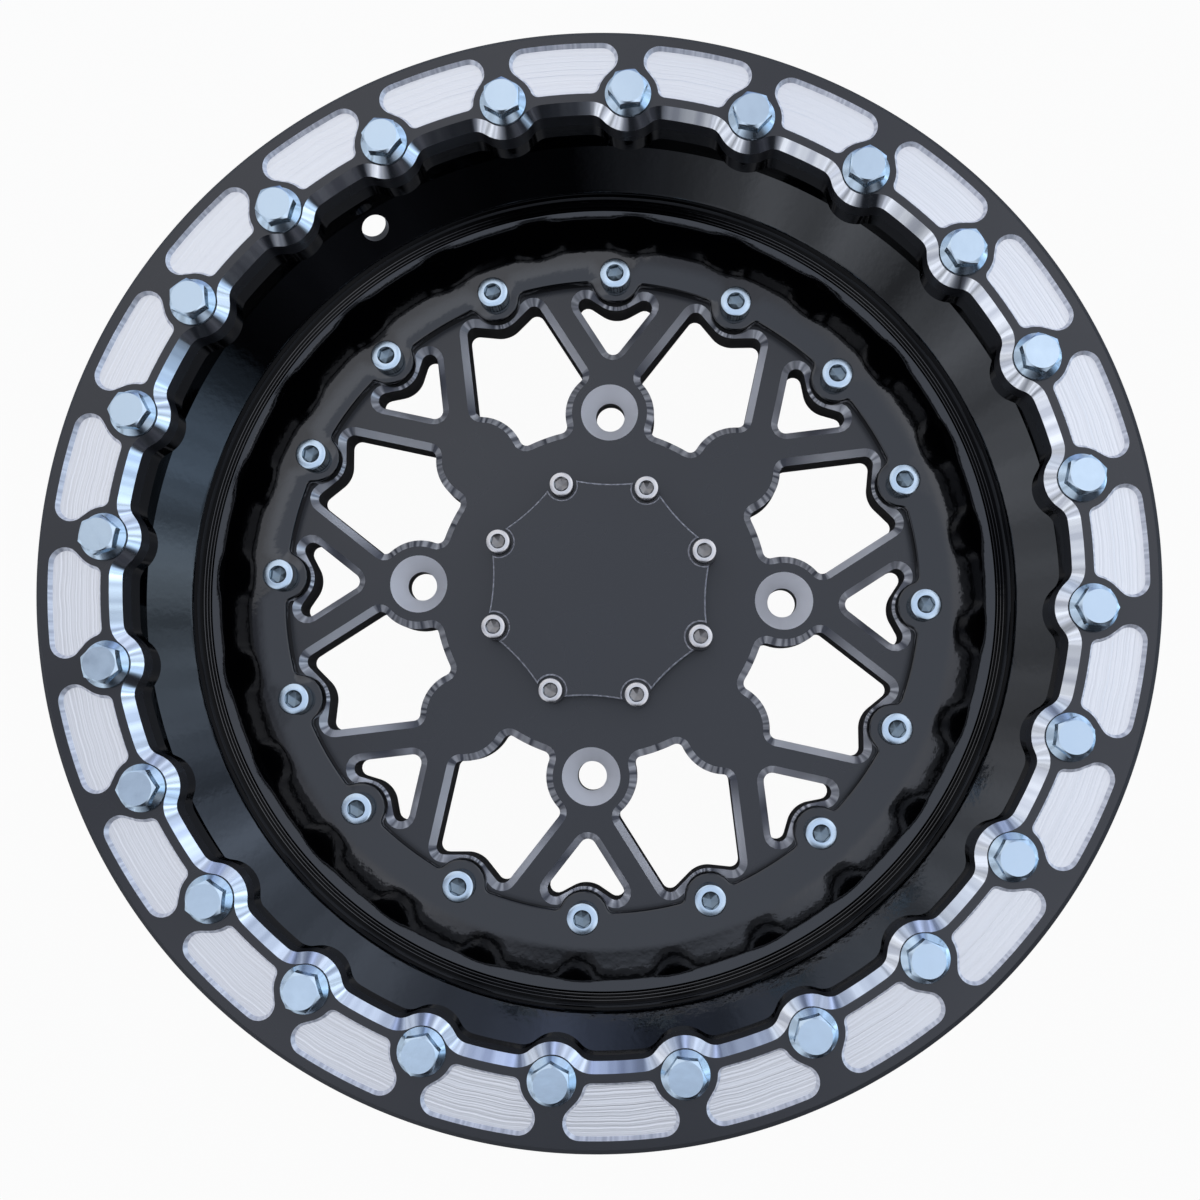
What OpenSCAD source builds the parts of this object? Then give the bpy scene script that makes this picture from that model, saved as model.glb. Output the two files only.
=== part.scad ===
// Beadlock wheel for a side-by-side: a 15 inch rim on a four-lug hub.
// Millimetres. The Z axis is the wheel's axis and points to the street side.
// The hub's mounting face is the plane z = 0, and the lug holes stand on the X and Y axes.

/* [Hub mount] */
// number of lug holes and the diameter of their circle
lug_count = 4; // [4:1:4]
lug_pcd = 156; // [150:1:160]
// radius of a lug hole
lug_hole_r = 6.25; // [6:0.05:7]
// radius of the cone seat at the front face
lug_seat_r = 12.3; // [11:0.1:14]
// radius of the hub's through bore
hub_bore_r = 38; // [30:0.5:40]
// width that stays between the lug holes and the register for the hub's pilot
pilot_land = 5.95; // [5:0.05:8]
// depth of that register
pilot_depth = 4; // [2:0.5:6]

/* [Centre plate] */
// thickness of the centre plate
plate_t = 19; // [15:0.5:26]
// how far the hub disc's edge lies inside the circle of the lug holes
hub_disc_in = 6.5; // [4:0.1:9]
// radius of the lobes round the lug holes
lobe_r = 19.2; // [18:0.1:21]
// half of a spoke's width and the angle it makes with its lobe's axis
spoke_half = 7.05; // [6:0.05:8]
spoke_angle = 35.4; // [34:0.1:37]
// from the circle of the lug holes out to where the two spokes of a lobe meet
spoke_root_out = 11.4; // [10:0.1:13]
// from there out to the circle of the screws that hold the plate to the rim
window_depth = 45.8; // [40:0.1:60]
// width of the bright chamfer round the windows
window_chamfer = 3; // [1:0.1:3.4]
// width of the plate outside the circle of the screws
plate_margin = 14.8; // [13:0.1:18]
// width of the small chamfers at the plate's outer edge
plate_edge = 1; // [0.2:0.1:3]
// number of screws through the rim's inner flange
screw_count = 16; // [16:16:16]

/* [Rim] */
// thickness of the rim's inner flange
flange_t = 6.5; // [5:0.1:9]
// how far the flange's edge lies inside the circle of the screws, between two of them
flange_valley_in = 1.7; // [1:0.1:3]
// radius of the flange's bulge round each screw
flange_boss_r = 10.6; // [9.5:0.1:11]
// radius that joins the bulge to the flange's edge
flange_fillet_r = 2.5; // [1:0.1:4]
// room round the centre plate inside the drop centre
drop_play = 10; // [6:0.5:16]
// depth of the drop centre; with the sizes before, it makes the 15 inch bead seats, radius 190.5
drop_depth = 30.5; // [25:0.5:45]
// thickness of the rim's wall
wall = 6; // [4:0.5:9]
// height of the rear lip over the bead seat
lip_h = 17.5; // [14:0.5:25]
// thickness of the rear lip
lip_t = 7; // [5:0.5:10]
// from the hub's mounting face forward to the ring's front face
front_z = 100.5; // [90:0.5:125]
// from the hub's mounting face back to the rear lip's bead face
rear_bead = 101.6; // [80:0.1:130]

/* [Beadlock] */
// number of bolts through the ring
bolt_count = 24; // [12:1:32]
// how far the circle of the ring's bolts lies inside the bead seat
bolt_in = 7.5; // [6:0.1:9]
// how far the ring's bolts are turned from the lug holes, degrees
bolt_turn = -1.5; // [-7.5:0.1:7.5]
// how far the ring stands out past the rear lip
ring_proud = 0.5; // [0:0.1:5]
// thickness of the ring
ring_t = 12.7; // [10:0.1:16]
// how far the ring's inner edge lies inside the circle of the bolts, between two of them
ring_valley_in = 6.5; // [5:0.1:9]
// radius of the edge's bulge round each bolt
ring_boss_r = 12.7; // [11:0.1:14]
// radius that joins the bulge to the edge
ring_fillet_r = 6.6; // [4:0.1:8]
// width of the bright chamfer along the inner edge
ring_chamfer = 3.7; // [1:0.1:4.5]
// width of the chamfers at the ring's outer edge, front and back
ring_front_edge = 2; // [0.5:0.1:3]
ring_back_edge = 1; // [0.5:0.1:3]
// thickness of the rim's flange under the ring
seat_t = 11; // [8:0.5:14]
// width of the groove that holds the tyre's bead
bead_w = 15.8; // [12:0.1:20]

/* [Pockets] */
// how far the milled pockets start outside the circle of the bolts
pocket_out = 0.4; // [0:0.1:4]
// width of the ring that stays outside the pockets
pocket_rim = 5.1; // [4:0.1:9]
// depth of the pockets
pocket_depth = 2; // [0.5:0.1:4]
// width of the pockets' sloping edge
pocket_bevel = 1.1; // [0.2:0.1:2]
// land that stays round each bolt
pocket_land_r = 11.5; // [10:0.1:13]
// radius of the outer and the inner corners
pocket_bulb_r = 6; // [4:0.1:7]
pocket_corner_r = 3; // [2:0.1:4]

/* [Cap] */
// number of screws that hold the cap
cap_screw_count = 8; // [8:1:8]
// how far their circle lies outside the hub's bore
cap_screw_out = 8.5; // [7:0.1:12]
// thickness of the cap
cap_t = 14.8; // [12:0.1:18]
// how far the cap's hollow sides lie inside the circle of its screws
cap_side_in = 2.1; // [1:0.1:4]
// radius of the hollow sides
cap_hollow_r = 80; // [60:1:120]
// depth of the seats for the screw heads
cap_seat_depth = 3; // [1:0.1:5]

/* [Valve] */
// radius of the valve hole
valve_r = 5.75; // [4:0.05:8]
// direction of the valve hole round the axis, degrees
valve_turn = 124.5; // [0:0.5:360]
// how far the valve hole's axis lies inside the bead's cylinder
valve_in = 5.4; // [4:0.1:8]

/* [Hidden] */
$fn = 96;
// steps along the small arcs and along the wide ones
arc_steps = 3;
wide_steps = 6;
// clearance of a bolt in a plain hole and in a thread, on the radius
plain_gap = 0.4;
thread_gap = 0.12;
// a cutter goes this far past the faces it opens
past = 1;
// a sloping cutter goes this far past both ends of its slope
slope_past = 0.5;
// a pocket's cutter goes on this share of its depth past the face
pocket_past = 0.25;

// bolt sizes, from the standards for M8 flange bolts, M8 and M6 socket screws
bolt_r = 4;
bolt_flange_r = 8.95;
bolt_flange_t = 1.4;
bolt_flange_edge = 0.5;
bolt_flange_h = 3.2;
bolt_hex_af = 13;
bolt_neck_r = bolt_hex_af / 2 + 0.4;
bolt_crown_r = bolt_hex_af * 0.47;
bolt_corner_r = bolt_hex_af * 0.6;
bolt_crown_h = 1;
bolt_head_h = 8;
bolt_len = 25;
screw_r = 4;
screw_head_r = 6.5;
screw_head_h = 8;
screw_hex_af = 6;
screw_hex_depth = 4;
screw_len = 20;
small_r = 3;
small_head_r = 5;
small_head_h = 6;
small_hex_af = 5;
small_hex_depth = 3;
small_len = 20;
// each bolt and screw is turned this much more than the one before
bolt_twist = 67;
screw_twist = 41;
small_twist = 53;
// small bevels at the end of a screw and at the top of its head
shank_edge = 0.8;
head_edge = 0.6;

// radii, from the lug holes out to the ring
lug_circle_r = lug_pcd / 2;
pilot_r = lug_circle_r - lug_hole_r - pilot_land;
hub_disc_r = lug_circle_r - hub_disc_in;
spoke_root_r = lug_circle_r + spoke_root_out;
screw_circle_r = spoke_root_r + window_depth;
flange_valley_r = screw_circle_r - flange_valley_in;
plate_r = screw_circle_r + plate_margin;
drop_r = plate_r + drop_play;
bead_r = drop_r + drop_depth;
lip_r = bead_r + lip_h;
ring_r = lip_r + ring_proud;
bolt_circle_r = bead_r - bolt_in;
ring_valley_r = bolt_circle_r - ring_valley_in;
pocket_in_r = bolt_circle_r + pocket_out;
pocket_out_r = ring_r - pocket_rim;
cap_circle_r = hub_bore_r + cap_screw_out;
cap_side_r = cap_circle_r - cap_side_in;

// heights of the faces
flange_top = plate_t + flange_t;
seat_z = front_z - ring_t;
seat_low = seat_z - seat_t;
clamp_z = seat_z - bead_w;
rear_face = -rear_bead - lip_t;
cap_top = plate_t + cap_t;
cap_seat_z = cap_top - cap_seat_depth;
seat_cone_h = (lug_seat_r - lug_hole_r) / tan(30);

bolt_pitch = 360 / bolt_count;
screw_pitch = 360 / screw_count;

// the rim's sloping wall, 45 degrees, from the inner flange up to the bead's cylinder
bead_step = 3.5;
bead_in_r = bead_r - bead_step;
bead_out_r = bead_in_r + wall;
valve_at_r = bead_in_r - valve_in;
slope_foot_out = 9.9;
slope_foot_r = drop_r + slope_foot_out;
slope_fillet_r = 12.5;
slope_centre_r = slope_foot_r - slope_fillet_r * tan(22.5);
slope_drop = wall * sqrt(2);
clamp_reach = 13.5;
clamp_r = bead_r + clamp_reach;
clamp_t = 6;
clamp_edge = 1;
clamp_fillet = 3;
drop_out_r = drop_r + wall;
valve_z = flange_top + valve_at_r - slope_foot_r;

// the two wavy edges are cut out of round faces that start a little further in
blank_past = 5;
seat_blank_r = bolt_circle_r - ring_boss_r - blank_past;
flange_blank_r = screw_circle_r - flange_boss_r - blank_past;
// the rim's edge under the ring stands this far back from the ring's own edge
seat_set_back = 0.8;
// small bevel at the corner of the seat, and the sloping underside of its flange
seat_out_r = bead_r - 0.5;
seat_edge = 1.5;
seat_knee_w = 8.5;
seat_knee_r = bead_in_r - seat_knee_w;
seat_knee_h = 9;

// the rear half of the rim: drop centre, slope, bead seat with its hump, and lip
rear_bead_z = -rear_bead;
drop_edge = 3;
drop_end_z = -22;
rear_in_r = bead_r - wall - 0.5;
rear_out_r = bead_r - 1;
rear_seat_w = 21;
rear_seat_taper = 1.5;
hump_r = bead_r + 1;
hump_rise = 3.5;
hump_w = 3;
lip_edge = 2;
lip_fillet_r = 3.5;
mouth_r = 8;

// the circle of a pocket's outer corner and that of the land stand this far apart
pocket_run = 0.35;

// round corners of the windows, and the edge that goes round each screw
window_boss_r = 11.4;
window_corner_r = 3.5;
window_corner_in = 9.8;
window_corner_x = screw_circle_r - window_corner_in;
window_five_corner_in = 10;
window_five_corner_x = screw_circle_r - window_five_corner_in;
window_tip_r = 3.5;
window_joint_r = 3;
// a point inside each kind of window
window_three_x = screw_circle_r - 17.2;
window_five_x = screw_circle_r - 35.2;

// the cap: lobe under each screw and round seat for its head
cap_point = 13.5;
cap_blank_r = cap_circle_r + cap_point;
cap_lobe_r = 5.4;
cap_spot_r = 6.2;
cap_roof_t = 5;

// points of an arc, both ends included
function arc(c, r, from, to, steps) =
  [for (i = [0 : steps]) let (a = from + (to - from) * i / steps) [c[0] + r * cos(a), c[1] + r * sin(a)]];
function turned(p, a) = [p[0] * cos(a) - p[1] * sin(a), p[0] * sin(a) + p[1] * cos(a)];
function polar(r, a) = [r * cos(a), r * sin(a)];
// direction from one point to another
function heading(p, q) = atan2(q[1] - p[1], q[0] - p[0]);

// A wavy edge round the axis. It bulges inwards round each bolt and is round again between them.
// grow moves the edge outwards and keeps it parallel to itself.
function wave(valley, boss, fillet, circle_r, count, grow) =
  let (
    f_r = valley - fillet,
    f_d = boss + fillet,
    f_a = acos((circle_r * circle_r + f_r * f_r - f_d * f_d) / (2 * circle_r * f_r)),
    low = polar(f_r, -f_a),
    high = polar(f_r, f_a),
    tip = [circle_r, 0],
    b = heading(low, tip),
    one = concat(
      arc(low, fillet + grow, -f_a, b, arc_steps),
      arc(tip, boss - grow, 180 + b, 180 - b, wide_steps),
      arc(high, fillet + grow, -b, f_a, arc_steps),
      [for (i = [1 : 2]) polar(valley + grow, f_a + (360 / count - 2 * f_a) * i / 3)]
    )
  )
  distinct([for (k = [0 : count - 1]) each [for (p = one) turned(p, k * 360 / count)]]);

// a loop without the points that repeat the one before
function distinct(p) =
  [for (i = [0 : len(p) - 1]) let (q = p[(i + 1) % len(p)]) if (norm(p[i] - q) > 0.01) p[i]];

// A solid between two loops of the same number of points, with flat ends.
module between(low, high, z0, z1, middle) {
  n = len(low);
  points = concat(
    [for (p = low) [p[0], p[1], z0]],
    [for (p = high) [p[0], p[1], z1]],
    [[middle[0], middle[1], z0], [middle[0], middle[1], z1]]
  );
  faces = concat(
    [for (i = [0 : n - 1]) [i, n + i, n + (i + 1) % n]],
    [for (i = [0 : n - 1]) [i, n + (i + 1) % n, (i + 1) % n]],
    [for (i = [0 : n - 1]) [2 * n, i, (i + 1) % n]],
    [for (i = [0 : n - 1]) [2 * n + 1, n + (i + 1) % n, n + i]]
  );
  polyhedron(points, faces);
}

// Outline of one milled pocket. Its middle lies on the X axis, and it keeps clear of both bolts.
function pocket(grow) =
  let (
    half = bolt_pitch / 2,
    bulb = pocket_bulb_r + grow,
    corner = pocket_corner_r + grow,
    land = pocket_land_r - grow,
    bulb_at = pocket_out_r - pocket_bulb_r,
    bulb_d = pocket_land_r + pocket_bulb_r + pocket_run,
    bulb_a = half - acos((bolt_circle_r * bolt_circle_r + bulb_at * bulb_at - bulb_d * bulb_d)
      / (2 * bolt_circle_r * bulb_at)),
    corner_at = pocket_in_r + pocket_corner_r,
    corner_d = pocket_land_r + pocket_corner_r,
    corner_a = half - acos((bolt_circle_r * bolt_circle_r + corner_at * corner_at - corner_d * corner_d)
      / (2 * bolt_circle_r * corner_at)),
    bolt = polar(bolt_circle_r, half),
    bulb_c = polar(bulb_at, bulb_a),
    corner_c = polar(corner_at, corner_a),
    side = acos((pocket_land_r + pocket_bulb_r) / bulb_d),
    leave = heading(bulb_c, bolt) - side,
    meet = heading(corner_c, bolt),
    upper = concat(
      [for (i = [0 : 1]) polar(pocket_out_r + grow, bulb_a * i / 2)],
      arc(bulb_c, bulb, bulb_a, leave + (leave < bulb_a ? 360 : 0), wide_steps),
      arc(bolt, land, leave + 180, meet + 180, arc_steps),
      arc(corner_c, corner, meet, 180 + corner_a, arc_steps),
      [polar(pocket_in_r - grow, corner_a / 2)]
    ),
    lower = [for (i = [len(upper) - 1 : -1 : 0]) [upper[i][0], -upper[i][1]]]
  )
  distinct(concat(upper, [[pocket_in_r - grow, 0]], lower));

// Rim side of a window: two round corners and the edge that goes round the screw, drawn upwards.
function rim_side(corner, radius, start, grow) =
  let (
    tip = [screw_circle_r, 0],
    edge = window_boss_r,
    d = norm(tip - corner),
    a = heading(corner, tip) - acos((radius + edge) / d)
  )
  concat(
    arc(corner, radius + grow, -start, a, arc_steps),
    arc(tip, edge - grow, 180 + a, 180 - a, wide_steps),
    arc([corner[0], -corner[1]], radius + grow, -a, start, arc_steps)
  );

// Triangular window outside a lobe, tip towards the hub.
function window_three(grow) =
  let (
    a = spoke_angle,
    tip = [spoke_root_r + (spoke_half + window_tip_r) / sin(a), 0],
    y = ((window_corner_x - spoke_root_r) * sin(a) - spoke_half - window_corner_r) / cos(a)
  )
  distinct(concat(
    arc(tip, window_tip_r + grow, 90 + a, 270 - a, arc_steps),
    rim_side([window_corner_x, -y], window_corner_r, 90 + a, grow)
  ));

// Five-sided window between two lobes. The screw is on the X axis.
function window_five(grow) =
  let (
    half = 180 / cap_screw_count,
    run = spoke_angle - half,
    root = polar(spoke_root_r, -half),
    lobe = polar(lug_circle_r, -half),
    ahead = polar(1, run),
    left = polar(1, run + 90),
    // the corner where the spoke leaves the lobe
    foot = root + (spoke_half + window_joint_r) * left,
    back = foot - lobe,
    along = back * ahead,
    reach = lobe_r + window_joint_r,
    joint = foot + (-along + sqrt(along * along - back * back + reach * reach)) * ahead,
    // the corner where the lobe meets the hub disc
    pit_at = hub_disc_r + window_joint_r,
    pit_a = acos((pit_at * pit_at + lug_circle_r * lug_circle_r - reach * reach) / (2 * pit_at * lug_circle_r)),
    pit = polar(pit_at, pit_a - half),
    x = window_five_corner_x,
    y = root[1] + (spoke_half + window_corner_r + (x - root[0]) * sin(run)) / cos(run),
    lower = concat(
      [for (i = [0 : 1]) polar(hub_disc_r - grow, (pit_a - half) * i / 2)],
      arc(pit, window_joint_r + grow, 180 + pit_a - half, 360 + heading(pit, lobe), arc_steps),
      arc(lobe, lobe_r - grow, 180 + heading(pit, lobe), heading(lobe, joint), wide_steps),
      arc(joint, window_joint_r + grow, 180 + heading(lobe, joint), 270 + run, arc_steps)
    ),
    upper = [for (i = [len(lower) - 1 : -1 : 1]) [lower[i][0], -lower[i][1]]]
  )
  distinct(concat(lower, rim_side([x, y], window_corner_r, 90 - run, grow), upper));

// one window through the plate, with its chamfer at the front
module window(low, start, end, middle) {
  translate([0, 0, -past])
    linear_extrude(plate_t + 2 * past) polygon(low);
  between(start, end, plate_t - window_chamfer - slope_past, plate_t + slope_past, middle);
}

module around(count, turn) {
  for (i = [0 : count - 1]) rotate(turn + i * 360 / count) children();
}

// The rim: one spun and welded piece with its two flanges.
module barrel() {
  difference() {
    rotate_extrude() polygon(concat(
      [
        [flange_blank_r, plate_t],
        [drop_r - drop_edge, plate_t],
        [drop_r, plate_t - drop_edge],
        [drop_r, drop_end_z],
        [rear_in_r, drop_end_z - rear_in_r + drop_r]
      ],
      arc([rear_in_r + mouth_r, rear_face + mouth_r], mouth_r, 180, 270, wide_steps),
      arc([lip_r - lip_edge, rear_face + lip_edge], lip_edge, -90, 0, arc_steps),
      arc([lip_r - lip_edge, rear_bead_z - lip_edge], lip_edge, 0, 90, arc_steps),
      arc([bead_r + lip_fillet_r, rear_bead_z + lip_fillet_r], lip_fillet_r, 270, 180, arc_steps),
      [
        [bead_r - rear_seat_taper, rear_bead_z + rear_seat_w],
        [hump_r, rear_bead_z + rear_seat_w + hump_rise],
        [hump_r, rear_bead_z + rear_seat_w + hump_rise + hump_w],
        [rear_out_r, rear_bead_z + rear_seat_w + 2 * hump_rise + hump_w],
        [rear_out_r, drop_end_z - rear_out_r + drop_r + slope_drop],
        [drop_out_r, drop_end_z - drop_out_r + drop_r + slope_drop],
        [drop_out_r, flange_top + drop_out_r - slope_foot_r - slope_drop],
        [bead_out_r, flange_top + bead_out_r - slope_foot_r - slope_drop],
        [bead_out_r, clamp_z - clamp_t - clamp_fillet],
        [bead_out_r + clamp_fillet, clamp_z - clamp_t],
        [clamp_r - clamp_edge, clamp_z - clamp_t],
        [clamp_r, clamp_z - clamp_t + clamp_edge],
        [clamp_r, clamp_z - clamp_edge],
        [clamp_r - clamp_edge, clamp_z],
        [seat_out_r, clamp_z],
        [seat_out_r, seat_z - seat_edge],
        [seat_out_r - seat_edge, seat_z],
        [seat_blank_r, seat_z],
        [seat_blank_r, seat_low],
        [seat_knee_r, seat_low],
        [bead_in_r, seat_low - seat_knee_h],
        [bead_in_r, flange_top + bead_in_r - slope_foot_r]
      ],
      arc([slope_centre_r, flange_top + slope_fillet_r], slope_fillet_r, -45, -90, arc_steps),
      [[flange_blank_r, flange_top]]
    ));
    // the wavy edge under the ring
    translate([0, 0, seat_low - past])
      linear_extrude(seat_t + 2 * past) rotate(bolt_turn)
        polygon(wave(ring_valley_r, ring_boss_r, ring_fillet_r, bolt_circle_r, bolt_count, seat_set_back));
    // the wavy edge of the inner flange
    translate([0, 0, plate_t - past])
      linear_extrude(flange_t + 2 * past)
        polygon(wave(flange_valley_r, flange_boss_r, flange_fillet_r, screw_circle_r, screw_count, 0));
    // threads for the ring's bolts
    around(bolt_count, bolt_turn)
      translate([bolt_circle_r, 0, seat_z - bolt_len])
        cylinder(r = bolt_r + thread_gap, h = bolt_len + past);
    // plain holes for the centre's screws
    around(screw_count, 0)
      translate([screw_circle_r, 0, plate_t - past])
        cylinder(r = screw_r + plain_gap, h = flange_t + 2 * past);
    // the valve hole, square to the sloping wall
    rotate(valve_turn) translate([valve_at_r, 0, valve_z]) rotate([0, -45, 0])
      cylinder(r = valve_r, h = 4 * wall, center = true);
  }
}

// The ring that clamps the tyre's bead.
module beadlock_ring() {
  difference() {
    translate([0, 0, seat_z])
      rotate_extrude() polygon([
        [seat_blank_r, 0],
        [ring_r - ring_back_edge, 0],
        [ring_r, ring_back_edge],
        [ring_r, ring_t - ring_front_edge],
        [ring_r - ring_front_edge, ring_t],
        [seat_blank_r, ring_t]
      ]);
    rotate(bolt_turn) {
      translate([0, 0, seat_z - past])
        linear_extrude(ring_t + 2 * past)
          polygon(wave(ring_valley_r, ring_boss_r, ring_fillet_r, bolt_circle_r, bolt_count, 0));
      between(
        wave(ring_valley_r, ring_boss_r, ring_fillet_r, bolt_circle_r, bolt_count, -slope_past),
        wave(ring_valley_r, ring_boss_r, ring_fillet_r, bolt_circle_r, bolt_count, ring_chamfer + slope_past),
        front_z - ring_chamfer - slope_past,
        front_z + slope_past,
        [0, 0]
      );
    }
    // milled pockets, midway between the bolts
    around(bolt_count, bolt_turn + bolt_pitch / 2)
      between(
        pocket(-pocket_bevel),
        pocket(pocket_past * pocket_bevel),
        front_z - pocket_depth,
        front_z + pocket_past * pocket_depth,
        [(pocket_in_r + pocket_out_r) / 2, 0]
      );
    around(bolt_count, bolt_turn)
      translate([bolt_circle_r, 0, seat_z - past])
        cylinder(r = bolt_r + plain_gap, h = ring_t + 2 * past);
  }
}

// The centre, milled from thick plate, behind the rim's inner flange.
module centre_plate() {
  difference() {
    rotate_extrude() polygon([
      [0, 0],
      [plate_r - plate_edge, 0],
      [plate_r, plate_edge],
      [plate_r, plate_t - plate_edge],
      [plate_r - plate_edge, plate_t],
      [0, plate_t]
    ]);
    around(cap_screw_count, 0)
      window(
        window_three(0),
        window_three(-slope_past),
        window_three(window_chamfer + slope_past),
        [window_three_x, 0]
      );
    around(cap_screw_count, 180 / cap_screw_count)
      window(
        window_five(0),
        window_five(-slope_past),
        window_five(window_chamfer + slope_past),
        [window_five_x, 0]
      );
    // lug holes with cone seats
    around(lug_count, 0)
      translate([lug_circle_r, 0, -past]) {
        cylinder(r = lug_hole_r, h = plate_t + 2 * past);
        translate([0, 0, plate_t + past - seat_cone_h])
          cylinder(r1 = lug_hole_r, r2 = lug_seat_r + past * tan(30), h = seat_cone_h + past);
      }
    // hub bore and the register for the hub's pilot
    translate([0, 0, -past]) cylinder(r = hub_bore_r, h = plate_t + 2 * past);
    translate([0, 0, -past]) cylinder(r = pilot_r, h = pilot_depth + past);
    // threads for both sets of screws
    around(screw_count, 0)
      translate([screw_circle_r, 0, -past])
        cylinder(r = screw_r + thread_gap, h = plate_t + 2 * past);
    around(cap_screw_count, 180 / cap_screw_count)
      translate([cap_circle_r, 0, -past])
        cylinder(r = small_r + thread_gap, h = plate_t + 2 * past);
  }
}

// The cap over the hub bore. Eight hollow sides, and a lobe under each screw.
module centre_cap() {
  difference() {
    union() {
      difference() {
        translate([0, 0, plate_t - past]) cylinder(r = cap_blank_r, h = cap_t + past);
        around(cap_screw_count, 0)
          translate([cap_side_r + cap_hollow_r, 0, plate_t - 2 * past])
            cylinder(r = cap_hollow_r, h = cap_t + 3 * past);
      }
      around(cap_screw_count, 180 / cap_screw_count)
        translate([cap_circle_r, 0, plate_t - past / 2])
          cylinder(r = cap_lobe_r, h = cap_seat_z - plate_t + past);
    }
    // one flat back for the middle and the lobes
    translate([0, 0, plate_t - 2 * past]) cylinder(r = cap_blank_r + past, h = 2 * past);
    around(cap_screw_count, 180 / cap_screw_count)
      translate([cap_circle_r, 0, 0]) {
        translate([0, 0, plate_t - past]) cylinder(r = small_r + plain_gap, h = cap_t + 2 * past);
        translate([0, 0, cap_seat_z]) cylinder(r = cap_spot_r, h = cap_seat_depth + past);
      }
    // hollow behind, over the end of the hub's spindle
    translate([0, 0, plate_t - past]) cylinder(r = hub_bore_r, h = cap_t - cap_roof_t + past);
  }
}

// M8 flange bolt, standing on z = 0 with its shank below
module flange_bolt() {
  translate([0, 0, -bolt_len]) cylinder(r = bolt_r, h = bolt_len + bolt_flange_edge);
  rotate_extrude() polygon([
    [0, 0],
    [bolt_flange_r - bolt_flange_edge, 0],
    [bolt_flange_r, bolt_flange_edge],
    [bolt_flange_r, bolt_flange_t],
    [bolt_neck_r, bolt_flange_h],
    [0, bolt_flange_h]
  ]);
  intersection() {
    cylinder(r = bolt_hex_af / sqrt(3), h = bolt_head_h, $fn = 6);
    rotate_extrude() polygon([
      [0, bolt_flange_edge],
      [bolt_corner_r, bolt_flange_edge],
      [bolt_corner_r, bolt_head_h - bolt_crown_h],
      [bolt_crown_r, bolt_head_h],
      [0, bolt_head_h]
    ]);
  }
}

// socket head screw, standing on z = 0 with its shank below
module socket_screw(r, len, head_r, head_h, af, depth) {
  difference() {
    rotate_extrude() polygon([
      [0, -len],
      [r - shank_edge, -len],
      [r, -len + shank_edge],
      [r, 0],
      [head_r, 0],
      [head_r, head_h - head_edge],
      [head_r - head_edge, head_h],
      [0, head_h]
    ]);
    translate([0, 0, head_h - depth]) cylinder(r = af / sqrt(3), h = depth + past, $fn = 6);
  }
}

module beadlock_bolts() {
  for (i = [0 : bolt_count - 1])
    rotate(bolt_turn + i * bolt_pitch)
      translate([bolt_circle_r, 0, front_z]) rotate(i * bolt_twist) flange_bolt();
}

module centre_screws() {
  for (i = [0 : screw_count - 1])
    rotate(i * screw_pitch)
      translate([screw_circle_r, 0, flange_top]) rotate(i * screw_twist)
        socket_screw(screw_r, screw_len, screw_head_r, screw_head_h, screw_hex_af, screw_hex_depth);
}

module cap_screws() {
  for (i = [0 : cap_screw_count - 1])
    rotate((i + 0.5) * 360 / cap_screw_count)
      translate([cap_circle_r, 0, cap_seat_z]) rotate(i * small_twist)
        socket_screw(small_r, small_len, small_head_r, small_head_h, small_hex_af, small_hex_depth);
}

color([0.05, 0.05, 0.06]) barrel();
color([0.12, 0.12, 0.13]) beadlock_ring();
color([0.15, 0.15, 0.17]) centre_plate();
color([0.1, 0.1, 0.12]) centre_cap();
color([0.75, 0.78, 0.82]) beadlock_bolts();
color([0.75, 0.78, 0.82]) centre_screws();
color([0.7, 0.7, 0.7]) cap_screws();
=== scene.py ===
# %% [markdown]
# # The looks of a beadlock wheel
# The wheel is a 15 inch rim for a side-by-side: a deep rim in gloss black powder coat, a black
# anodised centre with bright machined windows, and a bolted ring that clamps the tyre's bead.
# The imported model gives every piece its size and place. This lesson gives the pieces their finish,
# and it draws the big machined ones again with finer edges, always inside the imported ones.

import math
from collections import namedtuple

import bmesh
import bpy
import numpy as np
from mathutils import Matrix, Vector
from mathutils.geometry import delaunay_2d_cdt


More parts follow.
